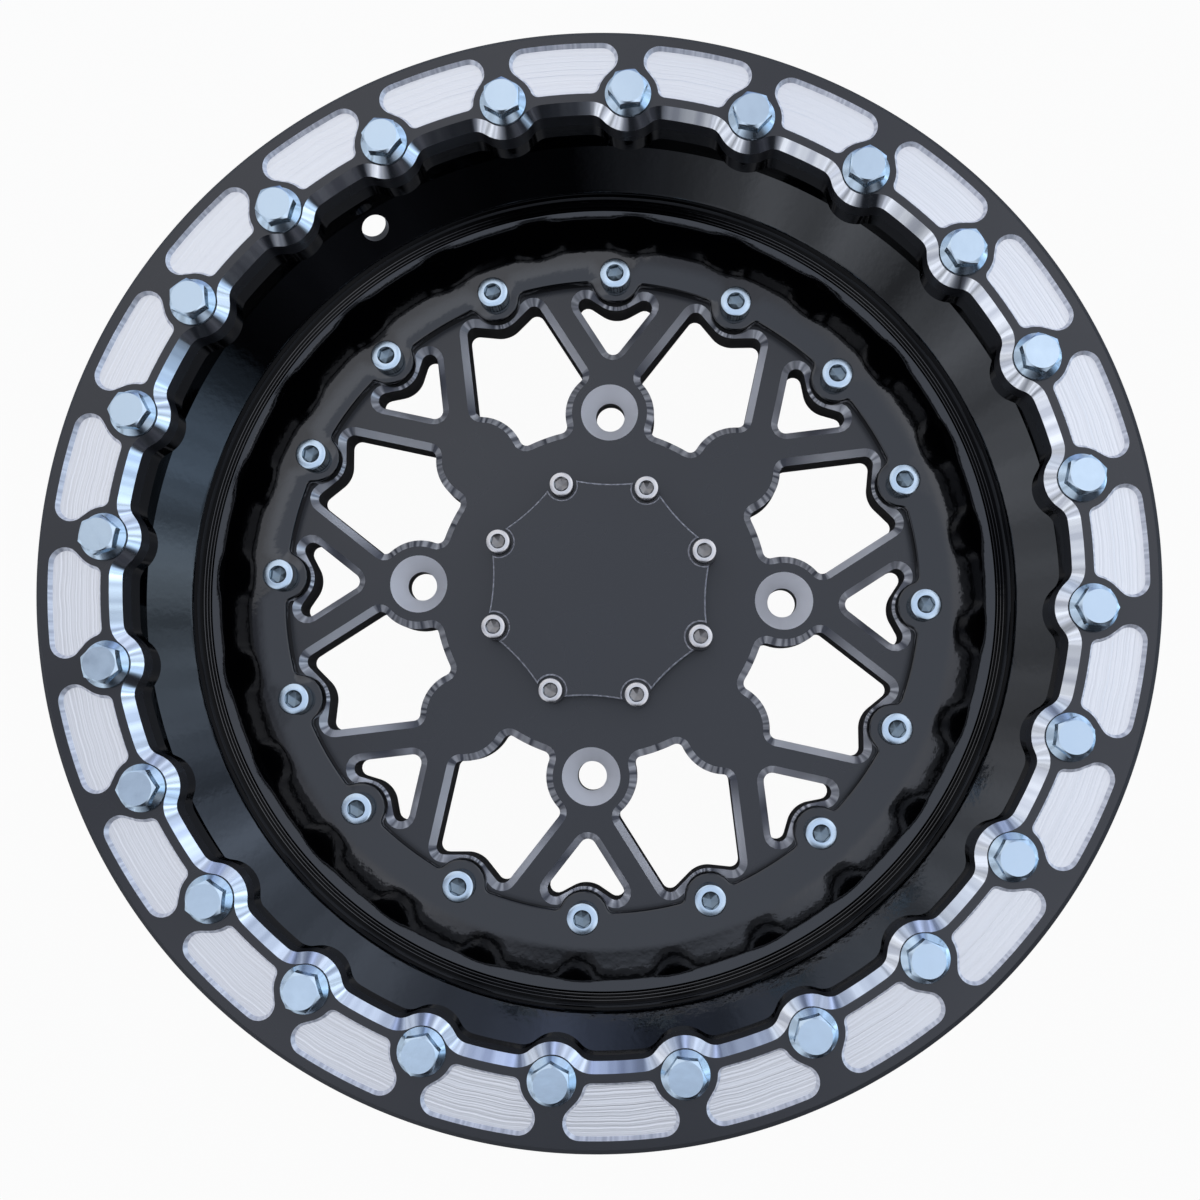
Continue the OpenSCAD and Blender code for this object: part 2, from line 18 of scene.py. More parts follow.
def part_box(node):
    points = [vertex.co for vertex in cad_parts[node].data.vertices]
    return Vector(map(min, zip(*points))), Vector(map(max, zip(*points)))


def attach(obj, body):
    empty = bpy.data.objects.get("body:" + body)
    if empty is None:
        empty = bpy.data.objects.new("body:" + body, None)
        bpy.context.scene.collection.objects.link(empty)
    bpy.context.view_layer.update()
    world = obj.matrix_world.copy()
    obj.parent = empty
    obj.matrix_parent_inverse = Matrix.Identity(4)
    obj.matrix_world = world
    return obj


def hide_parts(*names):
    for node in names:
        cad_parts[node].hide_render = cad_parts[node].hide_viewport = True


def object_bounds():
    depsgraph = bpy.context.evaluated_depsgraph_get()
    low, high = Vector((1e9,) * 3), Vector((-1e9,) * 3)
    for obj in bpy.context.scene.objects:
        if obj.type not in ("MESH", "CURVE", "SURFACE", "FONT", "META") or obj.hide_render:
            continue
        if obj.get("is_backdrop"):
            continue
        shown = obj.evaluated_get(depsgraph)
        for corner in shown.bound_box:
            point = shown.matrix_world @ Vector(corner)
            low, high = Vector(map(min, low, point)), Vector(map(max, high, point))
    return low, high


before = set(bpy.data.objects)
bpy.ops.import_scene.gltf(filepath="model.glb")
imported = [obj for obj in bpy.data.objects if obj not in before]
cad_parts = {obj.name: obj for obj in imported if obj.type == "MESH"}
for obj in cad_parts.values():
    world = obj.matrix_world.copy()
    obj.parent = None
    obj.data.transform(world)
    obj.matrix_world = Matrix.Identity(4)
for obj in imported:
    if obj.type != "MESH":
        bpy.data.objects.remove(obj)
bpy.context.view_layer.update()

# %% [markdown]
# ## Sizes
# All the shapes below are drawn in millimetres, because that is how a machinist reads a wheel.
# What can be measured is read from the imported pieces. The rest are the wheel's own dimensions.
# The Z axis is the wheel's axis, and z = 0 is the face that sits on the hub.

# %% Heights and radii
MM = 0.001


def measured(node):
    """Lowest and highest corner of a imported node, in millimetres."""
    low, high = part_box(node)
    return np.array(low) / MM, np.array(high) / MM


ring_low, ring_high = measured("beadlock_ring")
rim_low, rim_high = measured("barrel")
plate_high = measured("centre_plate")[1]
cap_high = measured("centre_cap")[1]
front_z = ring_high[2]
seat_z = ring_low[2]
ring_r = ring_high[0]
plate_t = plate_high[2]
plate_r = plate_high[0]
rear_z = rim_low[2]
lip_r = rim_high[0]
cap_top = cap_high[2]
flange_t = 6.5
flange_top = plate_t + flange_t
seat_t = 11.0
seat_low = seat_z - seat_t
print(f"ring front {front_z:.1f}, seat {seat_z:.1f}, rear {rear_z:.1f}, ring radius {ring_r:.1f} mm")

# %% Bolts and screws
bolt_count, bolt_circle_r, bolt_turn = 24, 183.0, -1.5
screw_count, screw_circle_r = 16, 135.2
cap_count, cap_circle_r = 8, 46.5
lug_count, lug_circle_r = 4, 78.0
bolt_pitch = 360 / bolt_count
plain_hole_r = 4.4
thread_hole_r = 4.12
small_hole_r = 3.4
small_thread_r = 3.12
print("degrees from one ring bolt to the next:", bolt_pitch)

# %% [markdown]
# ## The camera
# The picture looks straight down the wheel's axis from about half a metre, a few degrees off.
# The camera stands there with the same lens, so every edge falls where it does in the picture.
# Close up the rim looks deep: its far parts shrink, and one side shows more than the other.

# %% Place the camera
image_px = 1200
focal_px = 1413.8
centre_px = (608.75, 588.75)
tilt_x, tilt_y, clocking = -5.478, -2.084, -2.844
axis_offset = Vector((-6.51, 6.26, -521.4))

turn = (
    Matrix.Rotation(math.radians(tilt_x), 3, "X")
    @ Matrix.Rotation(math.radians(tilt_y), 3, "Y")
    @ Matrix.Rotation(math.radians(clocking), 3, "Z")
)
camera_place = Vector((0, 0, front_z)) - turn.transposed() @ axis_offset
camera_data = bpy.data.cameras.new("camera")
camera_data.sensor_width = 36
camera_data.lens = 36 * focal_px / image_px
camera_data.shift_x = (image_px / 2 - centre_px[0]) / image_px
camera_data.shift_y = (centre_px[1] - image_px / 2) / image_px
camera_data.clip_start = 0.01
camera = bpy.data.objects.new("camera", camera_data)
camera.matrix_world = Matrix.Translation(camera_place * MM) @ turn.transposed().to_4x4()
bpy.context.scene.collection.objects.link(camera)
bpy.context.scene.camera = camera
print("camera height over the ring:", round(camera_place.z - front_z, 1), "mm")

# %% [markdown]
# ## Outlines
# Each edge of this wheel is made of arcs that run into each other, as a milling cutter leaves
# them. An outline is an array of points, worked out from a few radii. The same function gives
# an edge and its parallel one, so a chamfer is just two outlines at two heights.
# The arcs are stepped at about the spacing of a cutter's moves, which leave small flats.

# %% Arcs and turns


def polar(radius, angle):
    """Points at radius * (cos a, sin a), for one angle a in degrees or an array of them."""
    a = np.radians(angle)
    return np.stack((radius * np.cos(a), radius * np.sin(a)), axis=-1)


def arc(centre, radius, start, end, steps):
    """Points round a centre, at even steps from the start angle to the end angle."""
    return np.asarray(centre) + polar(radius, np.linspace(start, end, steps + 1))


def circle(radius, steps, centre=(0.0, 0.0)):
    """A full circle round the centre, without its last point again."""
    return arc(centre, radius, 0, 360, steps)[:-1]


def turned(points, angle):
    """Points turned round the axis: x cos - y sin, x sin + y cos."""
    c, s = polar(1, angle)
    return points @ np.array(((c, s), (-s, c)))


def heading(start, end):
    """Direction from one point to another, in degrees."""
    return math.degrees(math.atan2(end[1] - start[1], end[0] - start[0]))


def meeting(radius_a, distance, radius_b):
    """Angle at the first centre to where two circles at that distance meet: the cosine rule."""
    cosine = (radius_a**2 + distance**2 - radius_b**2) / (2 * radius_a * distance)
    return math.degrees(math.acos(cosine))


def tidy(points):
    """A loop without the points that repeat the one before."""
    step = np.linalg.norm(points - np.roll(points, -1, axis=0), axis=1)
    return points[step > 0.01]


def mirrored(points):
    """The same points below the X axis, in reverse order."""
    return (points * (1, -1))[::-1]


def around(outline, count, turn=0.0):
    """Copies of an outline at even steps round the axis."""
    return [turned(outline, turn + k * 360 / count) for k in range(count)]


def closed(stretch, count, turn=0.0):
    """A closed loop whose one stretch is repeated at even steps round the axis."""
    return tidy(np.vstack(around(stretch, count, turn)))


def drilled(radius, steps, circle_r, count, turn=0.0):
    """Round holes at even steps on a circle round the axis."""
    return around(circle(radius, steps, (circle_r, 0)), count, turn)


print("quarter of a circle in two steps:", arc((0, 0), 10, 0, 90, 2).round(2).tolist())

# %% The wavy edges
ring_valley_r, ring_boss_r, ring_fillet_r = 176.5, 12.7, 6.6
flange_valley_r, flange_boss_r, flange_fillet_r = 133.5, 10.6, 2.5


def wave(valley, boss, fillet, circle_r, count, grow, turn=0.0):
    """An edge that bulges inwards round each bolt, radius boss, and is round between them.

    Fillets join the two. grow moves the edge outwards and keeps it parallel to itself."""
    lean = meeting(valley - fillet, circle_r, boss + fillet)
    low, high, tip = polar(valley - fillet, -lean), polar(valley - fillet, lean), (circle_r, 0)
    b = heading(low, tip)
    rest = 360 / count - 2 * lean
    one = np.vstack((
        arc(low, fillet + grow, -lean, b, 5),
        arc(tip, boss - grow, 180 + b, 180 - b, 10),
        arc(high, fillet + grow, -b, lean, 5),
        arc((0, 0), valley + grow, lean + rest / 6, lean + rest * 5 / 6, 4),
    ))
    return closed(one, count, turn)


def ring_edge(grow):
    """Inner edge of the ring, moved outwards by grow."""
    return wave(ring_valley_r, ring_boss_r, ring_fillet_r, bolt_circle_r, bolt_count, grow, bolt_turn)


def flange_edge(grow):
    """Inner edge of the rim's flange round the sixteen screws."""
    return wave(flange_valley_r, flange_boss_r, flange_fillet_r, screw_circle_r, screw_count, grow)


print("points along the ring's edge:", len(ring_edge(0)))

# %% The pockets
pocket_in_r, pocket_out_r = 183.4, 203.4
pocket_land_r, pocket_bulb_r, pocket_corner_r = 11.5, 6.0, 3.0
bulb_play = 0.35


def pocket(grow):
    """One milled pocket, its middle on the X axis: wide outside, narrow inside, clear of both bolts."""
    half = bolt_pitch / 2
    bulb_at = pocket_out_r - pocket_bulb_r
    bulb_d = pocket_land_r + pocket_bulb_r + bulb_play
    bulb_a = half - meeting(bolt_circle_r, bulb_at, bulb_d)
    corner_at = pocket_in_r + pocket_corner_r
    corner_a = half - meeting(bolt_circle_r, corner_at, pocket_land_r + pocket_corner_r)
    bolt, bulb, corner = polar(bolt_circle_r, half), polar(bulb_at, bulb_a), polar(corner_at, corner_a)
    leave = heading(bulb, bolt) - math.degrees(math.acos((pocket_land_r + pocket_bulb_r) / bulb_d))
    meet = heading(corner, bolt)
    upper = np.vstack((
        arc((0, 0), pocket_out_r + grow, 0, bulb_a, 8)[:-1],
        arc(bulb, pocket_bulb_r + grow, bulb_a, leave, 14),
        arc(bolt, pocket_land_r - grow, leave + 180, meet + 180, 8),
        arc(corner, pocket_corner_r + grow, meet, 180 + corner_a, 8),
        arc((0, 0), pocket_in_r - grow, corner_a, 0, 6)[1:],
    ))
    return tidy(np.vstack((upper, mirrored(upper))))


print("points of a pocket:", len(pocket(0)))

# %% The windows
spoke_half, spoke_angle, spoke_root_r = 7.05, 35.4, 89.4
hub_disc_r, lobe_r = 71.5, 19.2
window_boss_r, window_corner_r = 11.4, 3.5
corner_three_x, corner_five_x = 125.4, 125.2
window_tip_r, window_joint_r = 3.5, 3.0
window_count = cap_count


def rim_side(corner, start, grow):
    """The outer side of a window: a round corner, the edge round the screw, a round corner."""
    tip = np.array((screw_circle_r, 0.0))
    distance = np.linalg.norm(tip - corner)
    a = heading(corner, tip) - math.degrees(math.acos((window_corner_r + window_boss_r) / distance))
    return np.vstack((
        arc(corner, window_corner_r + grow, -start, a, 7),
        arc(tip, window_boss_r - grow, 180 + a, 180 - a, 16),
        arc(corner * (1, -1), window_corner_r + grow, -a, start, 7),
    ))


def window_three(grow):
    """The three-sided window outside a lug hole, its tip towards the hub."""
    a = math.radians(spoke_angle)
    tip = (spoke_root_r + (spoke_half + window_tip_r) / math.sin(a), 0)
    run = corner_three_x - spoke_root_r
    y = (run * math.sin(a) - spoke_half - window_corner_r) / math.cos(a)
    tip_arc = arc(tip, window_tip_r + grow, 90 + spoke_angle, 270 - spoke_angle, 6)
    return tidy(np.vstack((tip_arc, rim_side(np.array((corner_three_x, -y)), 90 + spoke_angle, grow))))


def window_five(grow):
    """The five-sided window between two lobes: hub disc, lobe, spoke and rim side."""
    half = 180 / window_count
    run = spoke_angle - half
    root, lobe = polar(spoke_root_r, -half), polar(lug_circle_r, -half)
    ahead, left = polar(1, run), polar(1, run + 90)
    reach = lobe_r + window_joint_r
    foot = root + (spoke_half + window_joint_r) * left
    back = foot - lobe
    along = back @ ahead
    joint = foot + (math.sqrt(along**2 - back @ back + reach**2) - along) * ahead
    pit_at = hub_disc_r + window_joint_r
    pit_a = meeting(pit_at, lug_circle_r, reach) - half
    pit = polar(pit_at, pit_a)
    slope = math.radians(run)
    rise = spoke_half + window_corner_r + (corner_five_x - root[0]) * math.sin(slope)
    corner = np.array((corner_five_x, root[1] + rise / math.cos(slope)))
    lower = np.vstack((
        arc((0, 0), hub_disc_r - grow, 0, pit_a, 3)[:-1],
        arc(pit, window_joint_r + grow, 180 + pit_a, 360 + heading(pit, lobe), 5),
        arc(lobe, lobe_r - grow, 180 + heading(pit, lobe), heading(lobe, joint), 16),
        arc(joint, window_joint_r + grow, 180 + heading(lobe, joint), 270 + run, 5),
    ))
    return tidy(np.vstack((lower, rim_side(corner, 90 - run, grow), mirrored(lower)[:-1])))


print("window points:", len(window_three(0)), len(window_five(0)))

# %% [markdown]
# ## From outlines to solids
# A piece is a list of patches. A wall joins outlines at rising heights with quads. A flat fills
# an outline and leaves out its holes. Each patch carries the name of its finish, so the bright
# chamfer and the black face of one solid get their own materials. The patches share their edge
# points, which are then merged, and the faces are turned outwards.

# %% Patches
Patch = namedtuple("Patch", "points faces finish faceted map")


def at(points, z):
    """Outline points lifted to the height z."""
    return np.column_stack((points, np.full(len(points), z)))


def wall(finish, *rings, faceted=False):
    """Quads between neighbouring rings: point i and i + 1 of one ring, and the same of the next.

    The map's v is the length across the rings. Its u is the length along the first ring, or on
    a faceted wall the number of the facet, so that a pattern can change from facet to facet."""
    n = len(rings[0])
    i = np.arange(n)
    one = np.column_stack((i, (i + 1) % n, (i + 1) % n + n, i + n))
    faces = (one + n * np.arange(len(rings) - 1)[:, None, None]).reshape(-1, 4)
    along = np.linalg.norm(np.roll(rings[0], -1, axis=0) - rings[0], axis=1)
    u = np.arange(n + 1.0) if faceted else np.concatenate(([0.0], np.cumsum(along)))
    across = [np.linalg.norm(b - a, axis=1).mean() for a, b in zip(rings[:-1], rings[1:])]
    v = np.concatenate(([0.0], np.cumsum(across)))
    k, i = np.divmod(np.arange(len(faces)), n)
    u_map = np.column_stack((u[i], u[i + 1], u[i + 1], u[i]))
    v_map = np.column_stack((v[k], v[k], v[k + 1], v[k + 1]))
    return Patch(np.vstack(rings), faces, finish, faceted, np.stack((u_map, v_map), axis=-1))


def tube(finish, outline, low, high):
    """A wall straight up from an outline, between two heights."""
    return wall(finish, at(outline, low), at(outline, high))


def inside(points, loop):
    """True for each point whose ray towards +X crosses the loop an odd number of times."""
    a, b = loop, np.roll(loop, -1, axis=0)
    x, y = points[:, :1], points[:, 1:]
    between = (a[:, 1] > y) != (b[:, 1] > y)
    rise = np.where(a[:, 1] == b[:, 1], 1.0, b[:, 1] - a[:, 1])
    return (between & (x < a[:, 0] + (y - a[:, 1]) * (b[:, 0] - a[:, 0]) / rise)).sum(axis=1) % 2 == 1


def flat(finish, z, outline, holes=()):
    """Triangles that fill the outline, less its holes, at the height z.

    All the loops go into one Delaunay mesh. Then the triangles inside a hole are left out."""
    loops = [outline, *holes]
    starts = np.cumsum([0] + [len(loop) for loop in loops])
    edges = [(a + i, a + (i + 1) % len(loop)) for a, loop in zip(starts, loops) for i in range(len(loop))]
    points, _, triangles, *_ = delaunay_2d_cdt([Vector(p) for p in np.vstack(loops)], edges, [], 0, 1e-5)
    points, triangles = np.array(points), np.array(triangles)
    middles = points[triangles].mean(axis=1)
    keep = inside(middles, outline)
    for loop in holes:
        keep &= ~inside(middles, loop)
    faces = triangles[keep]
    return Patch(at(points, z), faces, finish, False, points[faces])


print("triangles of a washer:", len(flat("plain", 0, circle(9, 24), [circle(4, 24)]).faces))

# %% Finished pieces


def join(name, patches):
    """One mesh of all the patches, merged where they meet, with its faces turned outwards."""
    starts = np.cumsum([0] + [len(p.points) for p in patches[:-1]])
    names = sorted({p.finish for p in patches})
    mesh = bpy.data.meshes.new(name)
    points = np.vstack([p.points for p in patches]) * MM
    faces = [face for p, start in zip(patches, starts) for face in (p.faces + start).tolist()]
    mesh.from_pydata(points.tolist(), [], faces)
    counts = [len(p.faces) for p in patches]
    mesh.polygons.foreach_set("material_index", np.repeat([names.index(p.finish) for p in patches], counts))
    mesh.polygons.foreach_set("use_smooth", np.repeat([not p.faceted for p in patches], counts))
    surface_map = mesh.uv_layers.new(name="surface")
    surface_map.uv.foreach_set("vector", np.concatenate([p.map.ravel() for p in patches]) * MM)
    shape = bmesh.new()
    shape.from_mesh(mesh)
    bmesh.ops.remove_doubles(shape, verts=shape.verts, dist=2e-6)
    bmesh.ops.recalc_face_normals(shape, faces=shape.faces)
    open_edges = sum(1 for e in shape.edges if not e.is_manifold)
    volume = shape.calc_volume() / MM**3 / 1000
    shape.to_mesh(mesh)
    shape.free()
    print(f"{name}: {len(mesh.polygons)} faces, {volume:.1f} cm3, {open_edges} open edges")
    for finish in names:
        mesh.materials.append(bpy.data.materials.get(finish) or bpy.data.materials.new(finish))
    return mesh


def place(name, patches, node, sharp=24):
    """Make the piece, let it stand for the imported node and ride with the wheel."""
    mesh = join(name, patches)
    mesh.set_sharp_from_angle(angle=math.radians(sharp))
    piece = bpy.data.objects.new(name, mesh)
    bpy.context.scene.collection.objects.link(piece)
    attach(piece, "root")
    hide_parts(node)


# %% [markdown]
# ## The beadlock ring
# The ring is cut from half-inch aluminium plate and anodised black. Then the pockets and the
# wide inner chamfer are machined once more, so they show bare metal. Here the ring is two flats
# and four kinds of wall. The chamfer's patch isn't smoothed: the small flats of its arcs catch
# the light one by one, as the cutter's steps do on the real ring.

# %% Build the ring
# The cut walls' finish is a warmer, lighter grey than the faces: a painted reflection of the ground.
satin, ground_reflection_wall = "anodised_satin", "anodised_wall"
ring_chamfer = 3.7
pocket_depth, pocket_bevel = 2.0, 1.1
round_steps = 480
cut_low, cut_high = 1.0, 2.0
ring_base, ring_outer, ring_top = (circle(ring_r - cut, round_steps) for cut in (cut_low, 0, cut_high))
bolt_holes = drilled(plain_hole_r, 24, bolt_circle_r, bolt_count, bolt_turn)
pocket_turn = bolt_turn + bolt_pitch / 2
pocket_tops = around(pocket(0), bolt_count, pocket_turn)
pocket_floors = around(pocket(-pocket_bevel), bolt_count, pocket_turn)
chamfer_z = front_z - ring_chamfer
floor_z = front_z - pocket_depth
ring_patches = [
    wall(
        satin, at(ring_base, seat_z), at(ring_outer, seat_z + cut_low),
        at(ring_outer, front_z - cut_high), at(ring_top, front_z),
    ),
    flat(satin, front_z, ring_top, [ring_edge(ring_chamfer), *pocket_tops, *bolt_holes]),
    flat(satin, seat_z, ring_base, [ring_edge(0), *bolt_holes]),
    tube(satin, ring_edge(0), seat_z, chamfer_z),
    wall("bright_chamfer", at(ring_edge(0), chamfer_z), at(ring_edge(ring_chamfer), front_z), faceted=True),
]
for top, floor, hole in zip(pocket_tops, pocket_floors, bolt_holes):
    ring_patches += [
        wall("milled_edge", at(floor, floor_z), at(top, front_z)),
        flat("milled_floor", floor_z, floor),
        tube(satin, hole, seat_z, front_z),
    ]
place("beadlock_ring_machined", ring_patches, "beadlock_ring")

# %% [markdown]
# ## The centre plate
# The centre is 19 mm plate with eight three-sided and eight five-sided windows. Their front
# edges carry a 3 mm bright chamfer, and the lug holes have bare cone seats for the lug nuts.
# Behind, a shallow round recess takes the hub's pilot.

# %% Build the plate
window_chamfer = 3.0
lug_hole_r, lug_seat_r = 6.25, 12.3
hub_bore_r, pilot_r, pilot_depth = 38.0, 65.8, 4.0
plate_edge = 1.0
lug_cone_half = 30
seat_cone_z = plate_t - (lug_seat_r - lug_hole_r) / math.tan(math.radians(lug_cone_half))
half_turn = 180 / cap_count
window_low = around(window_three(0), window_count) + around(window_five(0), window_count, half_turn)
window_high = around(window_three(window_chamfer), window_count)
window_high += around(window_five(window_chamfer), window_count, half_turn)
lug_low = drilled(lug_hole_r, 48, lug_circle_r, lug_count)
lug_high = drilled(lug_seat_r, 48, lug_circle_r, lug_count)
plate_screws = drilled(thread_hole_r, 24, screw_circle_r, screw_count)
cap_threads = drilled(small_thread_r, 20, cap_circle_r, cap_count, half_turn)
bore, pilot = circle(hub_bore_r, 120), circle(pilot_r, 240)
plate_face, plate_side = circle(plate_r - plate_edge, round_steps), circle(plate_r, round_steps)
rear_holes = [*window_low, *lug_low, *plate_screws, pilot]
front_holes = [*window_high, *lug_high, *plate_screws, *cap_threads, bore]
plate_patches = [
    flat(satin, 0, plate_face, rear_holes),
    flat(satin, plate_t, plate_face, front_holes),
    flat(satin, pilot_depth, pilot, [bore, *cap_threads]),
    tube(satin, pilot, 0, pilot_depth),
    tube(satin, bore, pilot_depth, plate_t),
    wall(
        satin, at(plate_face, 0), at(plate_side, plate_edge),
        at(plate_side, plate_t - plate_edge), at(plate_face, plate_t),
    ),
]
for low, high in zip(window_low, window_high):
    plate_patches += [
        tube(ground_reflection_wall, low, 0, plate_t - window_chamfer),
        wall("window_chamfer", at(low, plate_t - window_chamfer), at(high, plate_t), faceted=True),
    ]
for low, high in zip(lug_low, lug_high):
    plate_patches += [
        tube(ground_reflection_wall, low, 0, seat_cone_z),
        wall("lug_seat", at(low, seat_cone_z), at(high, plate_t)),
    ]
plate_patches += [tube(ground_reflection_wall, hole, 0, plate_t) for hole in plate_screws]
plate_patches += [tube(ground_reflection_wall, hole, pilot_depth, plate_t) for hole in cap_threads]
place("centre_plate_machined", plate_patches, "centre_plate")

# %% [markdown]
# ## The hub cap
# The cap has eight hollow sides, a round seat for each screw at its points, and a hollow behind
# for the end of the spindle. A thin bright bevel runs along the hollow sides and the seats.
# Its outline is a chain of wide arcs and small circles, cut where they meet.

# %% Outlines of the cap
cap_side_r, cap_hollow_r = 44.4, 80.0
cap_lobe_r, cap_spot_r = 5.4, 6.2
cap_seat_z = cap_top - 3.0
cap_edge = 0.6
cap_roof_t = 5.0
hollow_at = np.array((cap_side_r + cap_hollow_r, 0.0))
spot_at = polar(cap_circle_r, -half_turn)
spot_way = heading(hollow_at, spot_at) % 360
spot_d = np.linalg.norm(spot_at - hollow_at)


def side_arc(edge, spot_r):
    """A hollow side of the cap, from the screw below it to the screw above it."""
    open_a = meeting(cap_hollow_r + edge, spot_d, spot_r)
    start = spot_way - open_a
    return arc(hollow_at, cap_hollow_r + edge, start, 360 - start, 16)


def round_screw(radius, begin, end, way, steps):
    """Arc round the screw above the side, between two points' directions: way is 1 or -1."""
    screw = polar(cap_circle_r, half_turn)
    a, b = heading(screw, begin) % 360, heading(screw, end) % 360
    return arc(screw, radius, a, b + way * 360 * (way * (b - a) < 0), steps)


def cap_seats(edge):
    """Outline of the cap's upper part: hollow sides, and round cuts for the screws' heads."""
    side = side_arc(edge, cap_spot_r + edge)
    cut = round_screw(cap_spot_r + edge, side[-1], turned(side, 2 * half_turn)[0], -1, 18)
    return closed(np.vstack((side, cut[1:-1])), cap_count)


def cap_lobes():
    """Outline of the cap's foot: hollow sides, and a round lobe under each screw."""
    lobe_side = side_arc(0, cap_lobe_r)
    ends = np.vstack((lobe_side[:1], side_arc(0, cap_spot_r), lobe_side[-1:]))
    lobe = round_screw(cap_lobe_r, ends[-1], turned(ends, 2 * half_turn)[0], 1, 14)
    return closed(np.vstack((ends, lobe[1:-1])), cap_count)


def seat_flat():
    """Outline of one screw's seat: the lobe outside and the round cut inside."""
    side, lobe_side = side_arc(0, cap_spot_r), side_arc(0, cap_lobe_r)
    lobe = round_screw(cap_lobe_r, lobe_side[-1], turned(lobe_side, 2 * half_turn)[0], 1, 14)
    cut = round_screw(cap_spot_r, turned(side, 2 * half_turn)[0], side[-1], 1, 18)
    return tidy(np.vstack((side[-1:], lobe, cut[:-1])))


cap_foot, cap_upper, cap_face = cap_lobes(), cap_seats(0), cap_seats(cap_edge)
print("points round the cap:", len(cap_foot), len(cap_upper), len(cap_face))

# %% Build the cap
cap_holes = drilled(small_hole_r, 24, cap_circle_r, cap_count, half_turn)
hollow = circle(hub_bore_r, 120)
roof_z = cap_top - cap_roof_t
cap_patches = [
    flat(satin, plate_t, cap_foot, [hollow, *cap_holes]),
    tube(satin, hollow, plate_t, roof_z),
    flat(satin, roof_z, hollow),
    tube(satin, cap_foot, plate_t, cap_seat_z),
    tube(satin, cap_upper, cap_seat_z, cap_top - cap_edge),
    wall("cap_edge", at(cap_upper, cap_top - cap_edge), at(cap_face, cap_top)),
    flat(satin, cap_top, cap_face),
]
for seat, hole in zip(around(seat_flat(), cap_count), cap_holes):
    cap_patches += [
        flat(satin, cap_seat_z, seat, [hole]),
        tube(satin, hole, plate_t, cap_seat_z),
    ]
place("centre_cap_machined", cap_patches, "centre_cap")

# %% [markdown]
# ## The rim
# The rim is spun from sheet, so most of it is one profile turned round the axis. The two flanges
# end in wavy edges, which are flats with holes. The valve hole needs care, because it goes
# through a cone: a block of the turned grid is left out there, and the gap is filled with rings
# of points that change from the block's outline to a circle and stay on the cone all the way.

# %% Sizes of the rim
gloss = "gloss_powder"
bead_r, wall_t = 190.5, 6.0
bead_in_r = bead_r - 3.5
bead_out_r = bead_in_r + wall_t
drop_r = 160.0
drop_out_r = drop_r + wall_t
slope_foot_r, slope_fillet_r = 169.9, 12.5
slope_centre_r = slope_foot_r - slope_fillet_r * math.tan(math.radians(22.5))
slope_shift = wall_t * math.sqrt(2)
clamp_z = seat_z - 15.8
clamp_r, clamp_t = bead_r + 13.5, 6.0
seat_knee_r, seat_knee_h = bead_in_r - 8.5, 9.0
seat_out_r, seat_edge = bead_r - 0.5, 1.5
lip_t = 7.0
rear_bead_z = rear_z + lip_t
rear_in_r, rear_out_r = bead_r - wall_t - 0.5, bead_r - 1
drop_end_z = -22.0
rear_seat_w, hump_rise, hump_w = 21.0, 3.5, 3.0
hump_z = rear_bead_z + rear_seat_w
set_back = 0.8
edge_round = 1.0
dish_from_r, dish_to_r, dish_drop = 146.0, 162.5, 1.0
turned_from_r, turned_to_r = 165.6, 172.1
turned_z, turned_fall = flange_top - 0.95, 0.055
valve_r, valve_turn, valve_at_r = 5.75, 124.5, 181.6
cell = 360 / round_steps
block = 8
print(f"rim wall {wall_t} mm, bead seats {2 * bead_r:.0f} mm across")


def line(start, end, steps):
    """Points along a straight line from start to end, both included."""
    return np.linspace(start, end, steps + 1)


def cone_z(radius, side):
    """Height of the sloping wall at a radius: side 0 is the street side, side 1 the tyre side."""
    return flange_top + radius - slope_foot_r - side * slope_shift


def rear_cone_z(radius, side):
    """The same for the slope behind the drop centre, which falls as it widens."""
    return drop_end_z + drop_r - radius + side * slope_shift


def join_up(*parts):
    """One profile of several stretches, without the points that they share."""
    return np.vstack([part if k == 0 else part[1:] for k, part in enumerate(parts)])


# %% Profiles of the rim, as radius and height
# The flange is a little hollow. A lathe faced it off up to the foot of the slope, which left a
# small step there and three fine ridges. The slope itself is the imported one.
dish = np.array((
    (dish_from_r, flange_top),
    (dish_from_r + 2, flange_top - dish_drop * 0.06),
    (dish_from_r + 4, flange_top - dish_drop * 0.19),
    (dish_to_r - 2, flange_top - dish_drop * 0.96),
    (dish_to_r, flange_top - dish_drop),
    (turned_from_r - 0.35, flange_top - dish_drop * 0.6),
    (turned_from_r, turned_z),
))
ridge = np.array(((-0.25, 0.0), (0.0, 0.12), (0.25, 0.0)))
ridge_radii = (166.4, 167.7, 169.0)
ridges = np.vstack([ridge + (r, turned_z - turned_fall * (r - turned_from_r)) for r in ridge_radii])
slope_start_r = slope_centre_r + slope_fillet_r * math.sin(math.radians(45))
step = np.array((
    (turned_to_r - 0.3, turned_z - turned_fall * 6),
    (turned_to_r, turned_z + 0.3),
    (turned_to_r + 0.1, cone_z(turned_to_r, 0) - 0.3),
    (turned_to_r + 0.2, cone_z(turned_to_r, 0) + 0.1),
    (turned_to_r + 0.45, cone_z(turned_to_r + 0.45, 0)),
    (slope_start_r, cone_z(slope_start_r, 0)),
))
foot = np.vstack((dish, ridges, step))
street_slope = line(foot[-1], (bead_in_r, cone_z(bead_in_r, 0)), block)
street_profile = join_up(
    foot,
    street_slope,
    line(street_slope[-1], (bead_in_r, seat_low - seat_knee_h), 3),
    line((bead_in_r, seat_low - seat_knee_h), (seat_knee_r, seat_low), 2),
)
tyre_block_r = (valve_at_r + slope_shift / 2 - 9, valve_at_r + slope_shift / 2 + 6.4)
tyre_slope_low = line((drop_out_r, cone_z(drop_out_r, 1)), (tyre_block_r[0], cone_z(tyre_block_r[0], 1)), 3)
